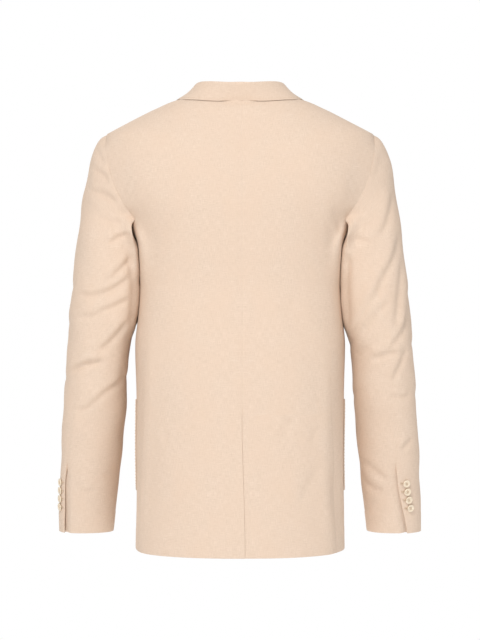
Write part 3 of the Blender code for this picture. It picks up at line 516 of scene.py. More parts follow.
def front_angle(level, x):
    """Angle of the front's point with a given X, which may be a function of its height."""
    width, depth, power = section(level, False)
    front_z = read(SECTION, "front_z", level)
    z = np.asarray(level, float)
    for _ in range(6):
        across = x(z) if callable(x) else x
        angle = np.arctan2(across, -bowed(depth, across / width, power))
        z = level + (front_z - level) * np.cos(angle) ** 2
    return np.where(angle < 0, angle + 2 * pi, angle)


def free_angle(level):
    """Angle of the left front's free edge at a level."""
    return front_angle(level, lambda z: read(FREE, "x", z))


def body_reach(y, z):
    """Half width of the body's outer face at a Y and a height below the armhole."""
    width, depth, power = section(z, y > 0)
    return bowed(width, y / depth, power)


def front_place(x, z):
    """Level and angle of the front's point at an X and a height."""
    level = np.asarray(z, float)
    for _ in range(25):
        angle = front_angle(level, x)
        level = level + 0.8 * (z - body_form(level, angle)[..., 2])
    return level, front_angle(level, x)


def on_front(x, z, lift=0.0):
    """Point at a lift from the front's skin at an X and a height, and the normal there."""
    return body_skin(*front_place(x, z), lift)


def snapped(values, *exact):
    """Values with the nearest ones moved to exact ones."""
    values = np.array(values, float)
    for value in exact:
        values[np.argmin(np.abs(values - value))] = value
    return values


def dense(values, counts, axis=-1):
    """Columns with a number of even steps put between each two."""
    values = np.moveaxis(np.asarray(values, float), axis, -1)
    at = np.concatenate([[0.0]] + [k + np.arange(1, n + 1) / n for k, n in enumerate(counts)])
    low = np.minimum(at.astype(int), values.shape[-1] - 2)
    share = at - low
    return np.moveaxis(values[..., low] * (1 - share) + values[..., low + 1] * share, -1, axis)


def blended(counts, *values):
    """Grid whose rows run through a few values each, with a number of even steps between them."""
    return dense(np.stack(values, -1), counts)


def curved(grid, counts, axis):
    """A grid with smooth curves through its points, a number of steps between each two."""
    grid = np.moveaxis(grid, axis, 0)
    last = grid.shape[0] - 1
    at = dense(np.arange(last + 1.0), counts)
    k = np.minimum(at.astype(int), last - 1)
    t = (at - k).reshape((-1,) + (1,) * (grid.ndim - 1))
    within = [test.reshape(t.shape) for test in (k > 0, k + 2 <= last)]
    before = np.where(within[0], grid[np.maximum(k - 1, 0)], 2 * grid[k] - grid[k + 1])
    after = np.where(within[1], grid[np.minimum(k + 2, last)], 2 * grid[k + 1] - grid[k])
    out = 0.5 * (
        2 * grid[k]
        + (grid[k + 1] - before) * t
        + (2 * before - 5 * grid[k] + 4 * grid[k + 1] - after) * t**2
        + (3 * grid[k] - before - 3 * grid[k + 1] + after) * t**3
    )
    return np.moveaxis(out, 0, axis)


def spread(low, high, steps):
    """Steps of a grid row between two values that may be arrays, one per row."""
    share = np.linspace(0, 1, steps + 1)
    return np.asarray(low)[..., None] * (1 - share) + np.asarray(high)[..., None] * share


# Levels of the body's rows, from hem to underarm to shoulder point to neck
LOW = snapped(np.linspace(HEM_Z, UNDERARM_Z, 152), VENT_TOP_Z)
HOLE = UNDERARM_Z + (SHOULDER_Z - UNDERARM_Z) * np.sin(np.linspace(0, pi / 2, 48)[1:])
ON_ROOF = SECTION["side_z"] >= SHOULDER_Z
ROOF_WIDTH = SECTION["half_width"][ON_ROOF]
ROOF = np.interp(-np.linspace(ROOF_WIDTH[0], ROOF_WIDTH[-1], 52), -ROOF_WIDTH, SECTION["side_z"][ON_ROOF])
ROOF = SHOULDER_Z + (ROOF - ROOF[0]) * (NECK_Z - SHOULDER_Z) / (ROOF[-1] - ROOF[0])
LEVELS = np.concatenate([LOW, HOLE, ROOF[1:]])


def lengths(points):
    """Length of a line from its start to each of its points."""
    return np.concatenate([[0], np.cumsum(np.linalg.norm(np.diff(points, axis=0), axis=1))])


def from_edges(grid):
    """Distance of each point from the grid's edges, along its rows and columns."""
    across = np.linalg.norm(np.diff(grid, axis=1), axis=-1)
    down = np.linalg.norm(np.diff(grid, axis=0), axis=-1)
    first = np.concatenate([np.zeros((len(grid), 1)), np.cumsum(across, axis=1)], axis=1)
    bottom = np.concatenate([np.zeros((1, grid.shape[1])), np.cumsum(down, axis=0)])
    return {"first": first, "last": first[:, -1:] - first, "bottom": bottom, "top": bottom[-1:] - bottom}


def sewn(outer, normal, seams, hem=None):
    """A grid that sinks at its seams, each with a weight, and at its turned hem's line."""
    away = from_edges(outer)
    sunk = np.zeros(outer.shape[:2])
    for name, weight in seams.items():
        weight = np.broadcast_to(np.asarray(weight, float).reshape((-1, 1)), sunk.shape)
        pucker = 1 + 0.15 * np.sin(away["bottom" if name in ("first", "last") else "first"] * 420.0)
        sunk += weight * SEAM_DIP * pucker * np.exp(-((away[name] / SEAM_WIDTH) ** 2))
        sunk -= weight * SEAM_DIP * 0.45 * np.exp(-(((away[name] - 0.0065) / 0.0035) ** 2))
    if hem:
        sunk += 0.00035 * np.exp(-(((away[hem] - HEM_LINE) / 0.0013) ** 2))
        sunk -= 0.00030 * smooth(HEM_LINE + 0.002, HEM_LINE - 0.002, away[hem])
    return outer - normal * sunk[..., None]


def pressed(z, low, high):
    """How much a seam shows at each height: all of it below low, faint above high."""
    return FAINT + (1 - FAINT) * smooth(high, low, z)


def beside_line(line, points):
    """Distance of points from a line, and the height of the spot on it that is nearest."""
    run = np.diff(line, axis=0)
    share = ((points[..., None, :] - line[:-1]) * run).sum(-1) / (run * run).sum(-1)
    spots = line[:-1] + np.clip(share, 0, 1)[..., None] * run
    away = np.linalg.norm(points[..., None, :] - spots, axis=-1)
    nearest = away.argmin(-1)[..., None]
    return [np.take_along_axis(found, nearest, -1)[..., 0] for found in (away, spots[..., 2])]


def filled(side, *grids):
    """Grids moved outwards beside an armhole, as far as the first one is from it, and beside the
    crevice below it."""
    sign = dict(SIDES)[side]
    moved = np.zeros(grids[0].shape)
    for (levels, angles), way in zip(armhole(), (1, -1)):
        away, height = beside_line(body_skin(levels, sign * angles)[0], grids[0])
        share = smooth(-0.058, -0.085, height) * smooth(-0.197, -0.170, height)
        share = share * np.clip(1 - away / ARMHOLE_REACH, 0, 1) ** 2
        moved += ARMHOLE_RISE * share[..., None] * unit(np.array([sign * 0.45, way * 0.88, 0.0]))
    out = []
    for grid in grids:
        x, y, z = sign * grid[..., 0], grid[..., 1], grid[..., 2]
        beside = np.exp(-(((x - body_reach(0.030, z)) / CREVICE_REACH) ** 2))
        lifted = read(CREVICE, "rise", z) * beside * smooth(-0.030, 0.030, y)
        out.append(grid + moved + lifted[..., None] * np.array([0.0, 1.0, 0.0]))
    return out


def circle(count):
    """Even angles round a circle."""
    return np.linspace(0, 2 * pi, count + 1)[:-1]


def ring(count, middle, size, u=(1, 0, 0), v=(0, 1, 0)):
    """Points round a circle in the plane of two directions."""
    turn = circle(count)[:, None]
    return list(middle + size * (np.cos(turn) * u + np.sin(turn) * v))


def tube(base, around, rings, ends="flat"):
    """Faces of a tube of rings of points, with flat or open ends or closed on itself."""
    faces = []
    for row in range(rings if ends == "closed" else rings - 1):
        here, ahead = base + row * around, base + (row + 1) % rings * around
        for k in range(around):
            after = (k + 1) % around
            faces.append([here + k, here + after, ahead + after, ahead + k])
    if ends == "flat":
        last = base + (rings - 1) * around
        faces += [list(range(base, base + around))[::-1], list(range(last, last + around))]
    return faces


def bare_mesh(name, points, faces):
    """Mesh of points and faces."""
    mesh = bpy.data.meshes.new(name)
    mesh.from_pydata(np.asarray(points, float).tolist(), [], faces)
    return mesh


def placed(name, data):
    """New object in the scene."""
    item = bpy.data.objects.new(name, data)
    bpy.context.scene.collection.objects.link(item)
    return item


def mesh_piece(name, points, faces, material, stands_for=(), uvs=None):
    """Smooth mesh object that rides on the part's one body."""
    mesh = bare_mesh(name, points, faces)
    mesh.update()
    mesh.calc_loop_triangles()
    corners = np.zeros(len(mesh.loop_triangles) * 3, dtype=np.int32)
    mesh.loop_triangles.foreach_get("vertices", corners)
    a, b, c = np.asarray(points)[corners.reshape(-1, 3)].transpose(1, 0, 2)
    if (a * np.cross(b, c)).sum() < 0:
        mesh.flip_normals()
    mesh.polygons.foreach_set("use_smooth", np.ones(len(mesh.polygons), dtype=bool))
    if uvs is not None:
        loops = np.zeros(len(mesh.loops), dtype=np.int32)
        mesh.loops.foreach_get("vertex_index", loops)
        mesh.uv_layers.new(name="cut").data.foreach_set("uv", np.asarray(uvs)[loops].ravel())
    mesh.materials.append(material)
    item = placed(name, mesh)
    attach(item, "root")
    if stands_for:
        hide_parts(*stands_for)
    return item


def sharpened(mesh, pairs):
    """Makes the edges between pairs of points sharp, so that the rim doesn't shade the cloth."""
    ends = np.zeros(len(mesh.edges) * 2, dtype=np.int32)
    mesh.edges.foreach_get("vertices", ends)
    keys = [np.sort(rows, axis=1) @ (len(mesh.vertices), 1) for rows in (ends.reshape(-1, 2), pairs)]
    mesh.edges.foreach_set("use_edge_sharp", np.isin(*keys))


def shell(name, outer, inner, held, rests_on=(), wall=WALL, seams=()):
    """Thin closed cloth between two grids of points that match. Its rim is rounded, apart from
    its seams, which are given with their weights."""
    rows, across = outer.shape[:2]
    free = np.ones((rows, across))
    edges = {"first": free[:, 0], "last": free[:, -1], "bottom": free[0], "top": free[-1]}
    for edge, weight in dict(seams).items():
        edges[edge][:] = 1.0 - np.asarray(weight, float)
    count = rows * across
    index = np.arange(count).reshape(rows, across)
    quads = np.stack([index[:-1, :-1], index[:-1, 1:], index[1:, 1:], index[1:, :-1]], -1).reshape(-1, 4)
    border = np.concatenate([index[0], index[1:, -1], index[-1, -2::-1], index[-2:0:-1, 0]])
    inside = index[np.clip(border // across, 1, rows - 2), np.clip(border % across, 1, across - 2)]
    face, back = outer.reshape(-1, 3).copy(), inner.reshape(-1, 3).copy()
    out = unit((face[border] - face[inside]) + (back[border] - back[inside]))
    rim = (face[border] + back[border]) / 2
    rounded = free.reshape(-1, 1)[border]
    for layer in (face, back):
        layer[border] -= out * wall * 0.30 * rounded
        layer[border] += (rim - layer[border]) * 0.12 * rounded
    ring, after = 2 * count + np.arange(len(border)), np.roll(border, -1)
    ring_after = np.roll(ring, -1)
    faces = np.concatenate([
        quads,
        quads[:, ::-1] + count,
        np.stack([after, border, ring, ring_after], -1),
        np.stack([ring_after, ring, border + count, after + count], -1),
    ])
    away = from_edges(outer)
    uv = np.stack([away["first"], np.repeat(away["bottom"][:, across // 2 : across // 2 + 1], across, 1)], -1)
    uv = uv.reshape(-1, 2)
    points, uvs = np.concatenate([face, back, rim]), np.concatenate([uv, uv, uv[border]])
    item = mesh_piece(name + "_cloth", points, faces.tolist(), CLOTH, (name,), uvs=uvs)
    pairs = np.stack([border, after], -1)
    sharpened(item.data, np.concatenate([pairs, pairs + count]))
    width, length = away["first"][:, -1].max(), away["bottom"][-1].max()
    a, b, c, d = (face[quads[:, k]] for k in range(4))
    halves = ((b - a, c - a), (c - a, d - a))
    area = sum(np.linalg.norm(np.cross(*pair), axis=1).sum() for pair in halves) / 2
    area = float(min(area, width * length))


def hung(name, side, grids, dips, seams, wall=WALL, shift=0.0):
    """Piece that hangs. It sinks at its seams and hem, fills out beside the armhole, and is drawn
    in from its seams by a slit. Gives its outer face and the normals there."""
    outer, normal = grids
    outer = sewn(outer, normal, dips, "bottom")
    pair = filled(side, outer, outer - normal * wall)
    for grid in pair:
        grid[-1] += shift
        for end, edge, inside in (("first", 0, 1), ("last", -1, -2)):
            if end in seams:
                grid[:, edge] += unit(grid[:, inside] - grid[:, edge]) * STITCH_GAP
    shell(name + side, *pair, "hung", seams=seams)
    return pair[0], normal


def centre_back_x(z):
    """X of the centre back seam, which leans a little to the wearer's right below the waist."""
    return -0.0031 - 0.0050 * smooth(-0.50, HEM_Z, z)


def backs():
    """Both back pieces, the left one lying over the right one below the vent's top."""
    centre = centre_back_x(LEVELS)
    middle = back_angle(LEVELS, centre)
    rim = seam_angle(LEVELS, "back_y")
    joined = smooth(VENT_TOP_Z - 0.002, VENT_TOP_Z + 0.006, LEVELS)
    counts = (6, 6, 4, BACK_COLUMNS)
    for side, sign in SIDES:
        angles, lift = spread(middle, sign * rim, BACK_COLUMNS), 0.0
        if side == "right":
            under = back_angle(LEVELS, centre + VENT_LAP * (LEVELS < VENT_TOP_Z + 1e-6))
            seam = LEVELS > VENT_TOP_Z + 1e-6
            under[seam] = middle[seam]
            between, ramp = back_angle(LEVELS, centre - 0.0035), back_angle(LEVELS, centre - 0.010)
            angles = blended(counts, under, (under + between) / 2, between, ramp, -rim)
            drop = (THIN_WALL + 0.0002) * smooth(VENT_TOP_Z + 0.020, VENT_TOP_Z + 0.004, LEVELS)
            lift = blended(counts, -drop, -drop, -drop, 0 * drop, 0 * drop)
        grids, wall = body_skin(LEVELS[:, None], angles, lift), WALL
        if side == "left":
            lapped = smooth(VENT_LAP + 0.012, VENT_LAP + 0.002, from_edges(grids[0])["first"])
            below = smooth(VENT_TOP_Z + 0.030, VENT_TOP_Z + 0.004, LEVELS)[:, None]
            wall = (WALL - (WALL - THIN_WALL) * lapped * below)[..., None]
        dips = {"first": joined * 1.6, "last": pressed(LEVELS, -0.50, -0.38)}
        hung("back_", side, grids, dips, {"first": joined, "last": 1.0}, wall, (0.0, 0.0, NECK_TURN))


def sides():
    """Side pieces from hem to the bottom of the armholes."""
    dip = UNDERARM_DIP * np.sin(pi * np.linspace(0, 1, SIDE_COLUMNS + 1))
    levels = LOW[:, None] - dip * smooth(UNDERARM_Z - 0.10, UNDERARM_Z, LOW)[:, None]
    shown = pressed(LOW, -0.50, -0.38)
    for side, sign in SIDES:
        angles = sign * spread(seam_angle(LOW, "back_y"), seam_angle(LOW, "front_y"), SIDE_COLUMNS)
        dips = {"first": shown, "last": shown}
        hung("side_", side, body_skin(levels, angles), dips, {"first": 1.0, "last": 1.0, "top": 1.0})


def fronts():
    """Both fronts, the left one lapped over the right one."""
    shares = np.linspace(0, 1, FRONT_COLUMNS) ** 1.15
    angles = free_angle(LEVELS)[:, None] * (1 - shares) + seam_angle(LEVELS, "front_y")[:, None] * shares
    levels = LEVELS[:, None]
    edges = {}
    for side, sign in SIDES:
        lift = 0.0
        if side == "right":
            across = body_form(levels, angles)[..., 0]
            below = smooth(BREAK_Z + 0.105, BREAK_Z + 0.065, levels)
            lift = -UNDER_DROP * smooth(0.060, 0.026, across) * below
        grids = body_skin(levels, sign * angles, lift)
        edges[side] = hung("front_", side, grids, {"last": pressed(LEVELS, -0.50, -0.38)}, {"last": 1.0})
    return edges


def pockets():
    """Patch pockets on the hips, with rounded lower corners."""
    rows = LOW[(LOW > -0.645) & (LOW < -0.489)]
    free, front, back = free_angle(rows), seam_angle(rows, "front_y"), seam_angle(rows, "back_y")
    start = free * (1 - POCKET_SPAN[0]) + front * POCKET_SPAN[0]
    end = back * (1 - POCKET_SPAN[1]) + front * POCKET_SPAN[1]
    low = np.clip(POCKET_CORNER - (rows - rows[0]), 0, POCKET_CORNER)
    turn = (POCKET_CORNER - np.sqrt(POCKET_CORNER**2 - low**2)) / 0.155
    angles = blended((24, 20), start - turn, front, end + turn)
    found = {}
    for side, sign in SIDES:
        outer, normal = body_skin(rows[:, None], sign * angles, LEAF_WALL + 0.0002)
        outer -= normal * (0.0003 * np.exp(-(((from_edges(outer)["top"] - 0.024) / 0.0013) ** 2)))[..., None]
        under = ("front_" + side, "side_" + side)
        shell("pocket_" + side, outer, outer - normal * LEAF_WALL, "laid", under, LEAF_WALL)
        found[side] = (outer, normal)
    return found


def lapels():
    """Notched lapels turned back along the roll line."""
    counts = (3, 3, 4, 6, 8, 9, 9)
    share = dense([0.0, 0.0, 0.03, 0.12, 0.30, 0.50, 0.75, 1.0], counts)
    place = dense(np.arange(8.0), counts)
    rise = dense([-0.5, 1.0, 1.15, 1.0, 1.0, 0.95, 0.86, 0.74], counts)
    found = {}
    for side, sign in SIDES:
        first = BREAK_Z + 0.004 if side == "left" else LAPEL_CROSS_Z
        heights = np.linspace(first, GORGE_START[1], 96)
        span = (heights - heights[0]) / (heights[-1] - heights[0])
        edge_z = heights[0] + span * (LAPEL_TIP[1] - heights[0])
        roll_x = read(FREE, "x", heights) - 0.0028
        if side == "right":
            roll_x = np.maximum(roll_x, 0.0010 - roll_x)
        x = roll_x[:, None] * (1 - share) + read(LAPEL, "x", edge_z)[:, None] * share
        z = heights[:, None] * (1 - share) + edge_z[:, None] * share
        level, angle = front_place(x, z)
        raised = rise * np.ones(x.shape)
        if side == "right":
            start = 0.35 - 0.85 * smooth(-0.300, -0.270, heights)
            raised[:, :4] = start[:, None] * (1 - place[:4]) + raised[:, 3:4] * place[:4]
        outer, normal = body_skin(level, sign * angle, (LAPEL_GAP + LEAF_WALL) * raised)
        wrap = np.clip(2 - place, 0, 1)[:, None] * np.array([sign * 1.0, 0.0, 0.0])
        inner = outer - normal * LEAF_WALL * np.clip(place, 0, 1)[:, None] + wrap * LEAF_WALL
        shell("lapel_" + side, outer, inner, "folded", ("front_" + side,), LEAF_WALL)
        found[side] = (outer, normal)
    return found


def neckline(along):
    """Foot of the left half of the collar, 0 at the centre back, 1 at the shoulder seam and 2 at
    the gorge, and the body's normal there."""
    back, back_normal = body_skin(NECK_Z, np.clip(along, 0, 1) * pi / 2)
    z = NECK_Z + (GORGE_START[1] + GORGE_GAP - NECK_Z) * np.clip(along - 1, 0, 1)
    front, front_normal = on_front(read(FREE, "x", z), z)
    share = smooth(0.92, 1.08, along)[..., None]
    return back * (1 - share) + front * share, unit(back_normal * (1 - share) + front_normal * share)


def armhole():
    """Closed line of the left armhole as two halves that start at the shoulder point and end at
    the bottom: the back one, then the front one."""
    up = HOLE[::-1]
    share = np.linspace(0, 1, SIDE_COLUMNS + 1)
    under = spread(seam_angle(UNDERARM_Z, "back_y"), seam_angle(UNDERARM_Z, "front_y"), SIDE_COLUMNS)
    under_level = UNDERARM_Z - UNDERARM_DIP * np.sin(pi * share)
    middle = SIDE_COLUMNS // 2
    halves = []
    for name, part in (("back_y", slice(0, middle + 1)), ("front_y", slice(None, middle - 1, -1))):
        angles = np.concatenate([seam_angle(up, name), under[part]])
        halves.append((np.concatenate([up, under_level[part]]), angles))
    return halves


def along_line(points, share):
    """Points at shares of a line's length."""
    run = lengths(points)
    return np.stack([np.interp(share * run[-1], run, points[:, i]) for i in range(3)], axis=-1)


def ring_height(step):
    """Height of a sleeve's level ring at a step."""
    return SLEEVE_RING_Z + np.clip(step - 1, 0, 1) * (RING["z"][-1] - SLEEVE_RING_Z)


def ring_step(z):
    """Step at which a sleeve's level ring has a height."""
    return 1 + (z - SLEEVE_RING_Z) / (RING["z"][-1] - SLEEVE_RING_Z)


def rested(points, step):
    """Points of the left sleeve, moved outwards where the body's side holds them off."""
    x, y, z = points[..., 0], points[..., 1], points[..., 2]
    settled = smooth(0, 0.12, step)
    free = x - body_reach(y, z) - REST_GAP * settled
    soft = REST_SOFTNESS * np.maximum(settled, 1e-3)
    push = np.where(free < -soft, -free, soft * (1 - np.minimum(free / soft, 1)) ** 2 / 4)
    held = smooth(UNDERARM_Z + 0.012, UNDERARM_Z - 0.002, z)
    return points + np.stack([push * held, 0 * push, 0 * push], axis=-1)


def sleeve_form(step, angle, rims):
    """Point of the left sleeve's form. Step runs 0 to 1 over the cap, then 1 to 2 down to the
    cuff. The angle in degrees runs from outwards through the back."""
    step, angle = np.broadcast_arrays(np.asarray(step, float), np.asarray(angle, float))
    turn, z = np.radians(angle), ring_height(step)
    centre_x, centre_y, width, depth = (read(RING, name, z) for name in list(RING)[1:])
    c, s = np.cos(turn), np.sin(turn)
    power = RING_POWER + INNER_POWER * smooth(0, 1, -c) * smooth(-0.42, -0.36, z)
    reach = (np.abs(c / (width / 2)) ** power + np.abs(s / (depth / 2)) ** power) ** (-1 / power)
    ring = np.stack([centre_x + reach * c, centre_y + reach * s, z], -1)
    w = np.clip(step, 0, 1)[..., None]
    behind = angle % 360 <= 180
    half = np.where(behind, angle % 360, 360 - angle % 360) / 180
    hole = np.where(behind[..., None], along_line(rims[0], half), along_line(rims[1], half))
    capped = hole * (1 - w) + ring * w
    for sign, end, name, fade in ((1, 0, "outer", 1.3), (-1, -1, "inner", 2.0)):
        far = np.array([RING["centre_x"][0] + sign * RING["width"][0] / 2, 0, SLEEVE_RING_Z])
        straight = rims[0][end] * (1 - w) + far * w
        path_x, path_z = (read(CAP, name + axis, w[..., 0]) for axis in ("_x", "_z"))
        path = np.stack([path_x, straight[..., 1], path_z], -1)
        begin = rims[0][end] - np.array([CAP[name + "_x"][0], rims[0][end][1], CAP[name + "_z"][0]])
        path = path + begin * (1 - w) ** 6
        capped = capped + (path - straight) * (((1 + sign * c) / 2) ** fade)[..., None]
    return rested(np.where((step >= 1)[..., None], ring, capped), step)


def sleeve_skin(side, step, angle, rims, lift=0.0):
    """Point at a lift from a sleeve's outer face, with its creases, and the outward normal."""
    sign = dict(SIDES)[side]
    step, angle = np.broadcast_arrays(np.asarray(step, float), np.asarray(angle, float))
    nudge = 0.004
    ahead, back = np.clip(step + nudge, 0.001, 2), np.clip(step - nudge, 0.001, 2)
    down = sleeve_form(ahead, angle, rims) - sleeve_form(back, angle, rims)
    round_it = sleeve_form(step, angle + 0.5, rims) - sleeve_form(step, angle - 0.5, rims)
    flip = np.array([sign, 1, 1])
    here, normal = sleeve_form(step, angle, rims) * flip, unit(np.cross(down, round_it)) * flip
    calm = smooth(0.06, 0.40, step) * (1 - 0.7 * smooth(1.72, 1.95, step))
    touching = smooth(0.55, 0.95, -sign * normal[..., 0]) * smooth(1.60, 1.15, step)
    sunk = crease_depth(here, normal, SLEEVE_CREASES[side], FOLD_DEPTH)
    sunk += ripples(here, 0.062, 0.0010, 7 + sign) * calm * (1 - touching)
    return here + normal * (np.asarray(lift, float) - sunk)[..., None], normal


def sleeves():
    """Two-piece sleeves with open cuffs. Gives the places of the cuff buttons."""
    vent_step = ring_step(CUFF_VENT_TOP_Z)
    steps = np.concatenate([np.linspace(0, 1, 52) ** 1.25, snapped(np.linspace(1, 2, 136)[1:], vent_step)])
    open_cuff = steps > vent_step - 1e-6
    joined = smooth(vent_step + 0.01, vent_step - 0.01, steps)
    loose = 0.0010 * smooth(vent_step, 2.0, steps)
    drop = -UNDER_DROP * smooth(vent_step - 0.055, vent_step - 0.003, steps) - loose
    front = np.full(len(steps), FRONT_SEAM_ANGLE)
    counts = (6, 6, 6, UNDER_SLEEVE_COLUMNS)
    under_lift = blended(counts, drop, drop, drop, 0 * drop, 0 * drop)
    found = {}
    for side, sign in SIDES:
        flip = np.array([sign, 1, 1])
        rims = [body_skin(levels, sign * angles, -SEAM_DIP * FAINT)[0] * flip for levels, angles in armhole()]
        seam = read(SLEEVE_SEAM, side, ring_height(steps))
        top = spread(front - 360, seam, TOP_SLEEVE_COLUMNS)
        lift = loose[:, None] * smooth(-26, 0, top - seam[:, None])
        sleeve_piece("sleeve_top_", side, steps, top, rims, lift, {"first": 1.0, "last": joined})
        begin = seam - np.where(open_cuff, CUFF_LAP_ANGLE, 0.0)
        clear = seam + np.where(open_cuff, 3.0, 2.0)
        under = blended(counts, begin, (begin + clear) / 2, clear, seam + 15.0, front)
        sleeve_piece("sleeve_under_", side, steps, under, rims, under_lift, {"first": joined, "last": 1.0})
        height = np.array(CUFF_BUTTON_Z)
        turn = read(SLEEVE_SEAM, side, height) - CUFF_BUTTON_ANGLE
        found[side] = sleeve_skin(side, ring_step(height), turn, rims, LAY_GAP)
    return found


def sleeve_piece(name, side, steps, angles, rims, lift, seams):
    """One piece of a sleeve, its top edge set just off the armhole."""
    grids = [grid[::-1] for grid in sleeve_skin(side, steps[:, None], angles, rims, lift)]
    seams = {key: np.broadcast_to(value, (len(steps),))[::-1] for key, value in seams.items()}
    shown = pressed(ring_height(steps)[::-1], -0.56, -0.46)
    dips = {key: value * shown for key, value in seams.items()}
    shift = np.array([dict(SIDES)[side] * 0.96, 0.0, -0.27]) * 2 * STITCH_GAP
    hung(name, side, grids, dips, seams | {"top": 1.0}, shift=shift)


def grid_normals(grid):
    """Unit normals of a grid of points."""
    down, across = np.gradient(grid, axis=0), np.gradient(grid, axis=1)
    return unit(np.cross(down, across))


def laid(points, least, most):
    """Points kept between two heights over the body's outer face."""
    levels, angles = np.meshgrid(np.linspace(-0.13, NECK_Z, 90), np.linspace(0, pi * 0.9, 160))
    skin, normal = body_skin(levels, angles)
    skin, normal = skin.reshape(-1, 3), normal.reshape(-1, 3)
    nearest = np.linalg.norm(points[:, None] - skin, axis=-1).argmin(axis=1)
    height = ((points - skin[nearest]) * normal[nearest]).sum(-1)
    return points + normal[nearest] * (np.clip(height, least, most) - height)[:, None]


def collar():
    """Collar with stand and fall, from notch round the back of the neck to notch."""
    half = np.array([0.0, 0.16, 0.32, 0.48, 0.64, 0.80, 0.94, 1.08, 1.24, 1.42, 1.61, 1.81, 2.0])
    foot, normal = neckline(half)
    edge = np.stack([read(COLLAR, name, half) for name in ("edge_x", "edge_y", "edge_z")], -1)
    least = LEAF_WALL + 0.0005 + (LAPEL_GAP - 0.0006) * smooth(0.95, 1.25, half)
    low = least - 0.0014 * smooth(1.25, 0.95, half)
    edge = laid(edge, low, low + 0.0002)
    turned = smooth(0.9, 1.5, half)[:, None]
    tangent = edge - foot - normal * ((edge - foot) * normal).sum(-1, keepdims=True)
    out = unit(unit(foot * np.array([1.0, 1.0, 0.0])) * (1 - turned) + unit(tangent) * turned)
    up = unit(np.array([0.0, 0.0, 1.0]) * (1 - turned) + normal * turned)
    crown = read(COLLAR, "crown_up", half)[:, None]
    tight = np.minimum(1, crown / 0.012)
    stand = (
        (-0.0028, 0.0006 + 0 * crown),
        (-0.0030, crown * 0.5),
        (-0.0026, crown - 0.0040 * tight),
        (-0.0008, crown - 0.0008 * tight),
        (0.0018, crown),
        (0.0044, crown - 0.0014 * tight),
    )
    lines = [foot + out * across + up * rise for across, rise in stand]
    for share in (0.28, 0.52, 0.76):
        lines.append(laid(lines[5] * (1 - share) + edge * share, least, 1.0))
    grid = np.stack(lines + [edge], axis=1)
    x0, z0 = GORGE_START
    slope = (LAPEL_TIP[1] - z0) / (LAPEL_TIP[0] - x0)
    corners = [(x, z0 + slope * (x - x0) + GORGE_GAP) for x in (0.0745, 0.0870, NOTCH_X)] + [COLLAR_TIP]
    for column, corner in enumerate(corners, 6):
        grid[-1, column] = on_front(*corner, least[-1])[0]
    mirrored = grid[:0:-1] * np.array([-1.0, 1.0, 1.0])
    grid = curved(np.concatenate([mirrored, grid]), (8,) * 24, 0)
    grid = curved(grid, (4, 4, 4, 4, 4, 6, 6, 6, 8), 1)
    face = grid_normals(grid)
    face = face * np.sign(face[len(grid) // 2, -1, 1])
    wall = LEAF_WALL - (LEAF_WALL - THIN_WALL) * smooth(0.010, 0.001, from_edges(grid)["last"])
    shell("collar", grid, grid - face * wall[..., None], "folded", (), LEAF_WALL)
    return grid, face


def stitches(name, path, normal):
    """Short hand stitches that follow a path over the cloth."""
    run, points, faces = lengths(path), [], []
    for spot in np.arange(STITCH_PITCH / 2, run[-1], STITCH_PITCH):
        spots = ((path, spot - STITCH_LENGTH / 2), (path, spot + STITCH_LENGTH / 2), (normal, spot))
        start, end, out = (np.array([np.interp(at, run, values) for values in line.T]) for line, at in spots)
        out = unit(out)
        beside = np.cross(unit(end - start), out)
        faces += tube(len(points), 6, 4)
        for share, size in ((0.0, 0.35), (0.25, 1.0), (0.75, 1.0), (1.0, 0.35)):
            middle = start * (1 - share) + end * share + out * STITCH_RADIUS * (0.9 * size - 0.35)
            points += ring(6, middle, STITCH_RADIUS * size, beside, out)
    mesh_piece(name, points, faces, THREAD)


def edge_path(grid, normal, edge, inset, order=slice(None)):
    """Path over a grid at a distance in from one of its edges, and the normals along it."""
    away = from_edges(grid)[edge]
    if edge in ("first", "last"):
        grid, normal, away = grid.swapaxes(0, 1), normal.swapaxes(0, 1), away.T
    inwards = slice(None) if edge in ("first", "bottom") else slice(None, None, -1)
    grids = (grid[inwards], normal[inwards])
    away = away[inwards]
    places = [
        [[np.interp(inset, away[:, k], values[:, k, i]) for i in range(3)] for k in range(away.shape[1])]
        for values in grids
    ]
    return np.array(places)[:, order]


def fill(tree, sockets, values):
    """Sets or links a node's inputs."""
    for key, value in dict(values).items():
        if isinstance(value, bpy.types.NodeSocket):
            tree.links.new(value, sockets[key])
        else:
            sockets[key].default_value = value


def node(tree, kind, inputs=(), out=0, **settings):
    """Output of a new shader node with its settings and inputs."""
    made = tree.nodes.new("ShaderNode" + kind)
    for name, value in settings.items():
        setattr(made, name, value)
    fill(tree, made.inputs, inputs)
    return made.outputs[out]


def maths(tree, operation, *values):
    """Output of a Math node."""
    return node(tree, "Math", enumerate(values), operation=operation)


def noise(tree, place, scale, detail, rough):
    """Noise at one scale, or at its own along the cloth's width and length."""
    if isinstance(scale, tuple):
        place, scale = node(tree, "VectorMath", {0: place, 1: scale + (1.0,)}, operation="MULTIPLY"), 1.0
    return node(tree, "TexNoise", {"Vector": place, "Scale": scale, "Detail": detail, "Roughness": rough})


def ranged(tree, value, low, high, to_low, to_high):
    """A value moved from one range to another, kept inside it."""
    names = ("Value", "From Min", "From Max", "To Min", "To Max")
    return node(tree, "MapRange", zip(names, (value, low, high, to_low, to_high)))


def mixed(tree, share, first, second, **settings):
    """Two colours mixed."""
    return node(tree, "MixRGB", {0: share, 1: first, 2: second}, **settings)


def painted(name):
    """A new material, its nodes and its shader's inputs."""
    material = bpy.data.materials.new(name)
    material.use_nodes = True
    return material, material.node_tree, material.node_tree.nodes["Principled BSDF"].inputs


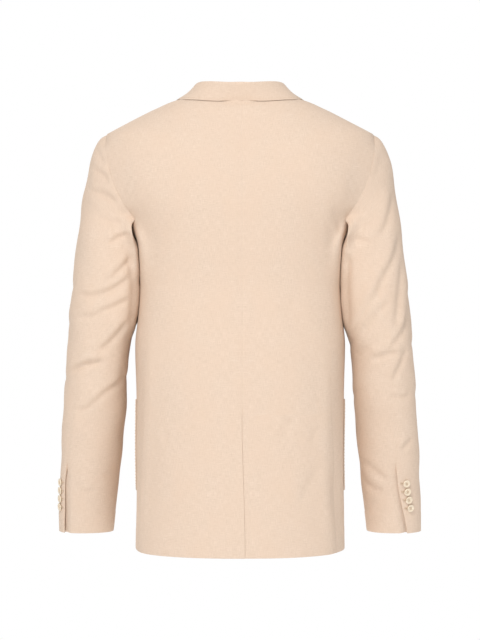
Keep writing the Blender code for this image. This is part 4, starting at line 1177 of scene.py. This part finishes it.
def cloth_material(name):
    """Smooth linen blend in a fine basket weave, with faint slubs, a mottle and painted shade in the weave's
    hollows.
    """
    material, tree, sockets = painted(name)
    place = node(tree, "UVMap", uv_map="cut")
    wander = noise(tree, place, (60.0, 60.0), 2.0, 0.5)
    shift = maths(tree, "MULTIPLY", maths(tree, "SUBTRACT", wander, 0.5), 1.6)
    waves = []
    for axis in node(tree, "SeparateXYZ", {0: place}, out=slice(0, 2)):
        turn = maths(tree, "ADD", maths(tree, "MULTIPLY", axis, pi / WEAVE_PITCH), shift)
        waves.append(maths(tree, "SINE", turn))
    threads = maths(tree, "ABSOLUTE", maths(tree, "MULTIPLY", *waves))
    weft, warp = noise(tree, place, (95.0, 1100.0), 3.0, 0.6), noise(tree, place, (1100.0, 95.0), 3.0, 0.6)
    slub = noise(tree, place, (45.0, 420.0), 1.0, 0.4)
    mottle = noise(tree, place, (22.0, 14.0), 3.0, 0.55)
    fleck = maths(tree, "MULTIPLY", maths(tree, "ADD", weft, warp), 0.5)
    colour = TONE["deep"]
    for value, low, high, most, tone in (
        (fleck, 0.36, 0.64, 1.0, "pale"),
        (mottle, 0.35, 0.70, 0.55, "warm"),
        (slub, 0.66, 0.80, 0.25, "slub"),
    ):
        colour = mixed(tree, ranged(tree, value, low, high, 0.0, most), colour, TONE[tone])
    # Painted shade: the colour darkens to 0.90 in the hollows between the threads and is a touch lighter on
    # their crossings
    shade = ranged(tree, threads, 0.0, 0.7, 0.90, 1.02)
    painted_weave_shade = node(tree, "CombineXYZ", {0: shade, 1: shade, 2: shade})
    height = maths(tree, "ADD", maths(tree, "MULTIPLY", threads, 0.55), maths(tree, "MULTIPLY", fleck, 0.9))
    height = maths(tree, "ADD", height, maths(tree, "MULTIPLY", slub, 0.5))
    fill(tree, sockets, {
        "Base Color": mixed(tree, 1.0, colour, painted_weave_shade, blend_type="MULTIPLY"),
        "Normal": node(tree, "Bump", {"Strength": 0.55, "Distance": 0.00035, "Height": height}),
        "Roughness": 0.88,
        "Specular IOR Level": 0.18,
        "Sheen Weight": 0.10,
        "Sheen Roughness": 0.45,
        "Sheen Tint": (1.0, 0.90, 0.78, 1.0),
    })
    return material


def plain_material(name, low, high, rough, scale):
    """Material with a faint mottle, for buttons and thread."""
    material, tree, sockets = painted(name)
    mottle = noise(tree, node(tree, "TexCoord", out="Object"), scale, 4.0, 0.6)
    fill(tree, sockets, {
        "Base Color": mixed(tree, ranged(tree, mottle, 0.3, 0.7, 0.0, 1.0), low, high),
        "Roughness": ranged(tree, mottle, 0.3, 0.7, rough - 0.06, rough + 0.06),
    })
    return material


def button_mesh(radius, depth):
    """Four-hole button in its own frame, its back at Z = 0."""
    profile = (
        (0.80, 0.00), (0.93, 0.10), (0.99, 0.32), (1.00, 0.50), (0.98, 0.72), (0.92, 0.90),
        (0.85, 0.98), (0.78, 1.00), (0.71, 0.96), (0.64, 0.84), (0.56, 0.72), (0.44, 0.66),
    )
    around, points = 64, [(0.0, 0.0, 0.0)]
    for share, rise in profile:
        points += ring(around, (0, 0, depth * rise), radius * share)
    faces, last = tube(1, around, len(profile), "open"), len(points)
    points.append((0.0, 0.0, depth * 0.62))
    for k in range(around):
        after = (k + 1) % around
        faces += [[0, 1 + after, 1 + k], [last - around + k, last - around + after, last]]
    blank = placed("button_blank", bare_mesh("button", points, faces))
    points, faces = [], []
    for x, y in HOLES:
        faces += tube(len(points), 16, 2)
        for z in (-depth, 2 * depth):
            points += ring(16, (radius * x, radius * y, z), radius * HOLE_RADIUS)
    drill = placed("drill", bare_mesh("drill", points, faces))
    cut = blank.modifiers.new("cut", "BOOLEAN")
    cut.operation, cut.object, cut.solver = "DIFFERENCE", drill, "EXACT"
    made = bpy.data.meshes.new_from_object(blank.evaluated_get(bpy.context.evaluated_depsgraph_get()))
    for item in (blank, drill):
        bpy.data.objects.remove(item)
    return np.array([v.co[:] for v in made.vertices]), [list(face.vertices) for face in made.polygons]


def threads_mesh(radius, depth):
    """Two double bars of sewing thread through a button's holes."""
    points, faces, size = [], [], radius * 0.085
    for (x0, y0), (x1, y1) in ((HOLES[0], HOLES[1]), (HOLES[3], HOLES[2])):
        for beside in (-0.75, 0.75):
            faces += tube(len(points), 8, 9)
            for share in np.linspace(0, 1, 9):
                x, y = (radius * (start * (1 - share) + end * share) for start, end in ((x0, x1), (y0, y1)))
                spot = np.array([x, y + beside * size, depth * (0.10 + 0.72 * sin(pi * share) ** 0.35)])
                points += ring(8, spot, size, (0.25, 1, 0), (0, 0, 1))
    return np.array(points), faces


def buttons(spots):
    """Detailed buttons in the places of the solids' ones, with their thread."""
    shapes = {size: (button_mesh(*size), threads_mesh(*size)) for size in (CUFF_BUTTON, FRONT_BUTTON)}
    for name, place, normal, size in spots:
        (points, faces), (thread_points, thread_faces) = shapes[size]
        z_axis = unit(np.asarray(normal, float))
        x_axis = unit(np.cross(z_axis, np.array([0.0, 0.2, 1.0])))
        axes = np.stack([x_axis, np.cross(z_axis, x_axis), z_axis])
        mesh_piece(name + "_detailed", place + points @ axes, faces, HORN, (name,))
        mesh_piece(name + "_thread", place + thread_points @ axes, thread_faces, THREAD)


def buttonhole(name, centre, along, out, length):
    """Worked buttonhole: a closed cord of stitches round a slit."""
    across = np.cross(out, along)
    half, wide, size, count, points = length / 2, 0.0009, 0.00055, 56, []
    for k, t in enumerate(circle(count)):
        x = half * np.sign(cos(t)) * abs(cos(t)) ** 0.35
        y = wide * np.sign(sin(t)) * abs(sin(t)) ** 0.7
        ahead = unit(np.array([-sin(t) * half, cos(t) * wide * 2.0]))
        side = along * ahead[1] - across * ahead[0]
        middle = centre + along * x + across * y + out * size * 0.35
        points += ring(8, middle, size * (1 + 0.22 * (k % 2)), side, out)
    mesh_piece(name, points, tube(0, 8, count, "closed"), THREAD)


def studio():
    """White floor and air, soft lamps, and the camera level behind the back."""
    scene = bpy.context.scene
    scene.view_settings.view_transform = "Standard"
    scene.world = bpy.data.worlds.new("studio")
    scene.world.use_nodes = True
    tree = scene.world.node_tree
    strength = ranged(tree, node(tree, "LightPath"), 0.0, 1.0, WORLD_LIGHT, 1.0)
    fill(tree, tree.nodes["Background"].inputs, {0: (1.0, 1.0, 1.0, 1.0), 1: strength})
    points = ring(96, (0, 0, FLOOR_Z), FLOOR_RADIUS)
    floor = placed("floor", bare_mesh("floor", points, [tuple(range(96))]))
    material, tree, sockets = painted("floor")
    fill(tree, sockets, {
        "Base Color": (0.93, 0.93, 0.93, 1.0),
        "Roughness": 0.9,
        "Specular IOR Level": 0.0,
        "Emission Color": (1.0, 1.0, 1.0, 1.0),
        "Emission Strength": 0.25,
    })
    floor.data.materials.append(material)
    for name, place, target, size, power, colour in LAMPS:
        lamp = bpy.data.lights.new(name, "AREA")
        lamp.shape, lamp.size, lamp.energy, lamp.color = "SQUARE", size, power, colour
        item = placed(name, lamp)
        item.location = place
        run = np.array(target) - np.array(place)
        item.rotation_euler = (acos(-run[2] / np.linalg.norm(run)), 0.0, atan2(-run[0], run[1]))
    eye = bpy.data.cameras.new("camera")
    eye.lens, eye.sensor_width = 98.9, 36.0
    scene.camera = placed("camera", eye)
    scene.camera.location = (0.0, 2.9, -0.36)
    scene.camera.rotation_euler = (pi / 2, 0.0, pi)


def build():
    """The whole blazer: cloth pieces, stitches along their edges, buttonholes and buttons."""
    backs()
    sides()
    front_edges, pocket_grids, lapel_grids = fronts(), pockets(), lapels()
    collar_path = edge_path(*collar(), "last", STITCH_INSET, slice(6, -6))
    cuffs = sleeves()
    stitches("stitches_collar", *collar_path)
    for side, _ in SIDES:
        path = edge_path(*lapel_grids[side], "last", STITCH_INSET, slice(2, -3))
        stitches("stitches_lapel_" + side, *path)
        low = [grid[LEVELS < BREAK_Z - 0.006] for grid in front_edges[side]]
        stitches("stitches_front_" + side, *edge_path(*low, "first", STITCH_INSET, slice(3, None)))
        turns = (("last", slice(-3, 1, -1)), ("bottom", slice(-3, 1, -1)), ("first", slice(2, -2)))
        loop = [edge_path(*pocket_grids[side], edge, POCKET_INSET, order) for edge, order in turns]
        stitches("stitches_pocket_" + side, *np.concatenate(loop, axis=1))
    spots, upright = [], np.array([0.0, 0.0, 1.0])
    for side, sign in SIDES:
        for k, (place, out) in enumerate(zip(*cuffs[side]), 1):
            spots.append((f"cuff_button_{side}_{k}", place, out, CUFF_BUTTON))
            along = unit(np.cross(upright, out))
            centre = place - out * LAY_GAP + along * sign * 0.0035
            buttonhole(f"buttonhole_{side}_{k}", centre, along, out, 0.0140)
    for k, height in enumerate(BUTTON_Z, 1):
        spots.append((f"front_button_{k}", *on_front(0.0, height, LAY_GAP), FRONT_BUTTON))
        centre, out = on_front(0.006, height)
        buttonhole(f"buttonhole_front_{k}", centre, unit(np.cross(out, upright)), out, 0.0240)
    buttons(spots)


CLOTH = cloth_material("linen_blend")
THREAD = plain_material("thread", (0.62, 0.47, 0.33, 1), (0.72, 0.57, 0.42, 1), 0.75, 900.0)
HORN = plain_material("pale_horn", (0.70, 0.58, 0.43, 1), (0.82, 0.71, 0.56, 1), 0.42, 260.0)
studio()
build()
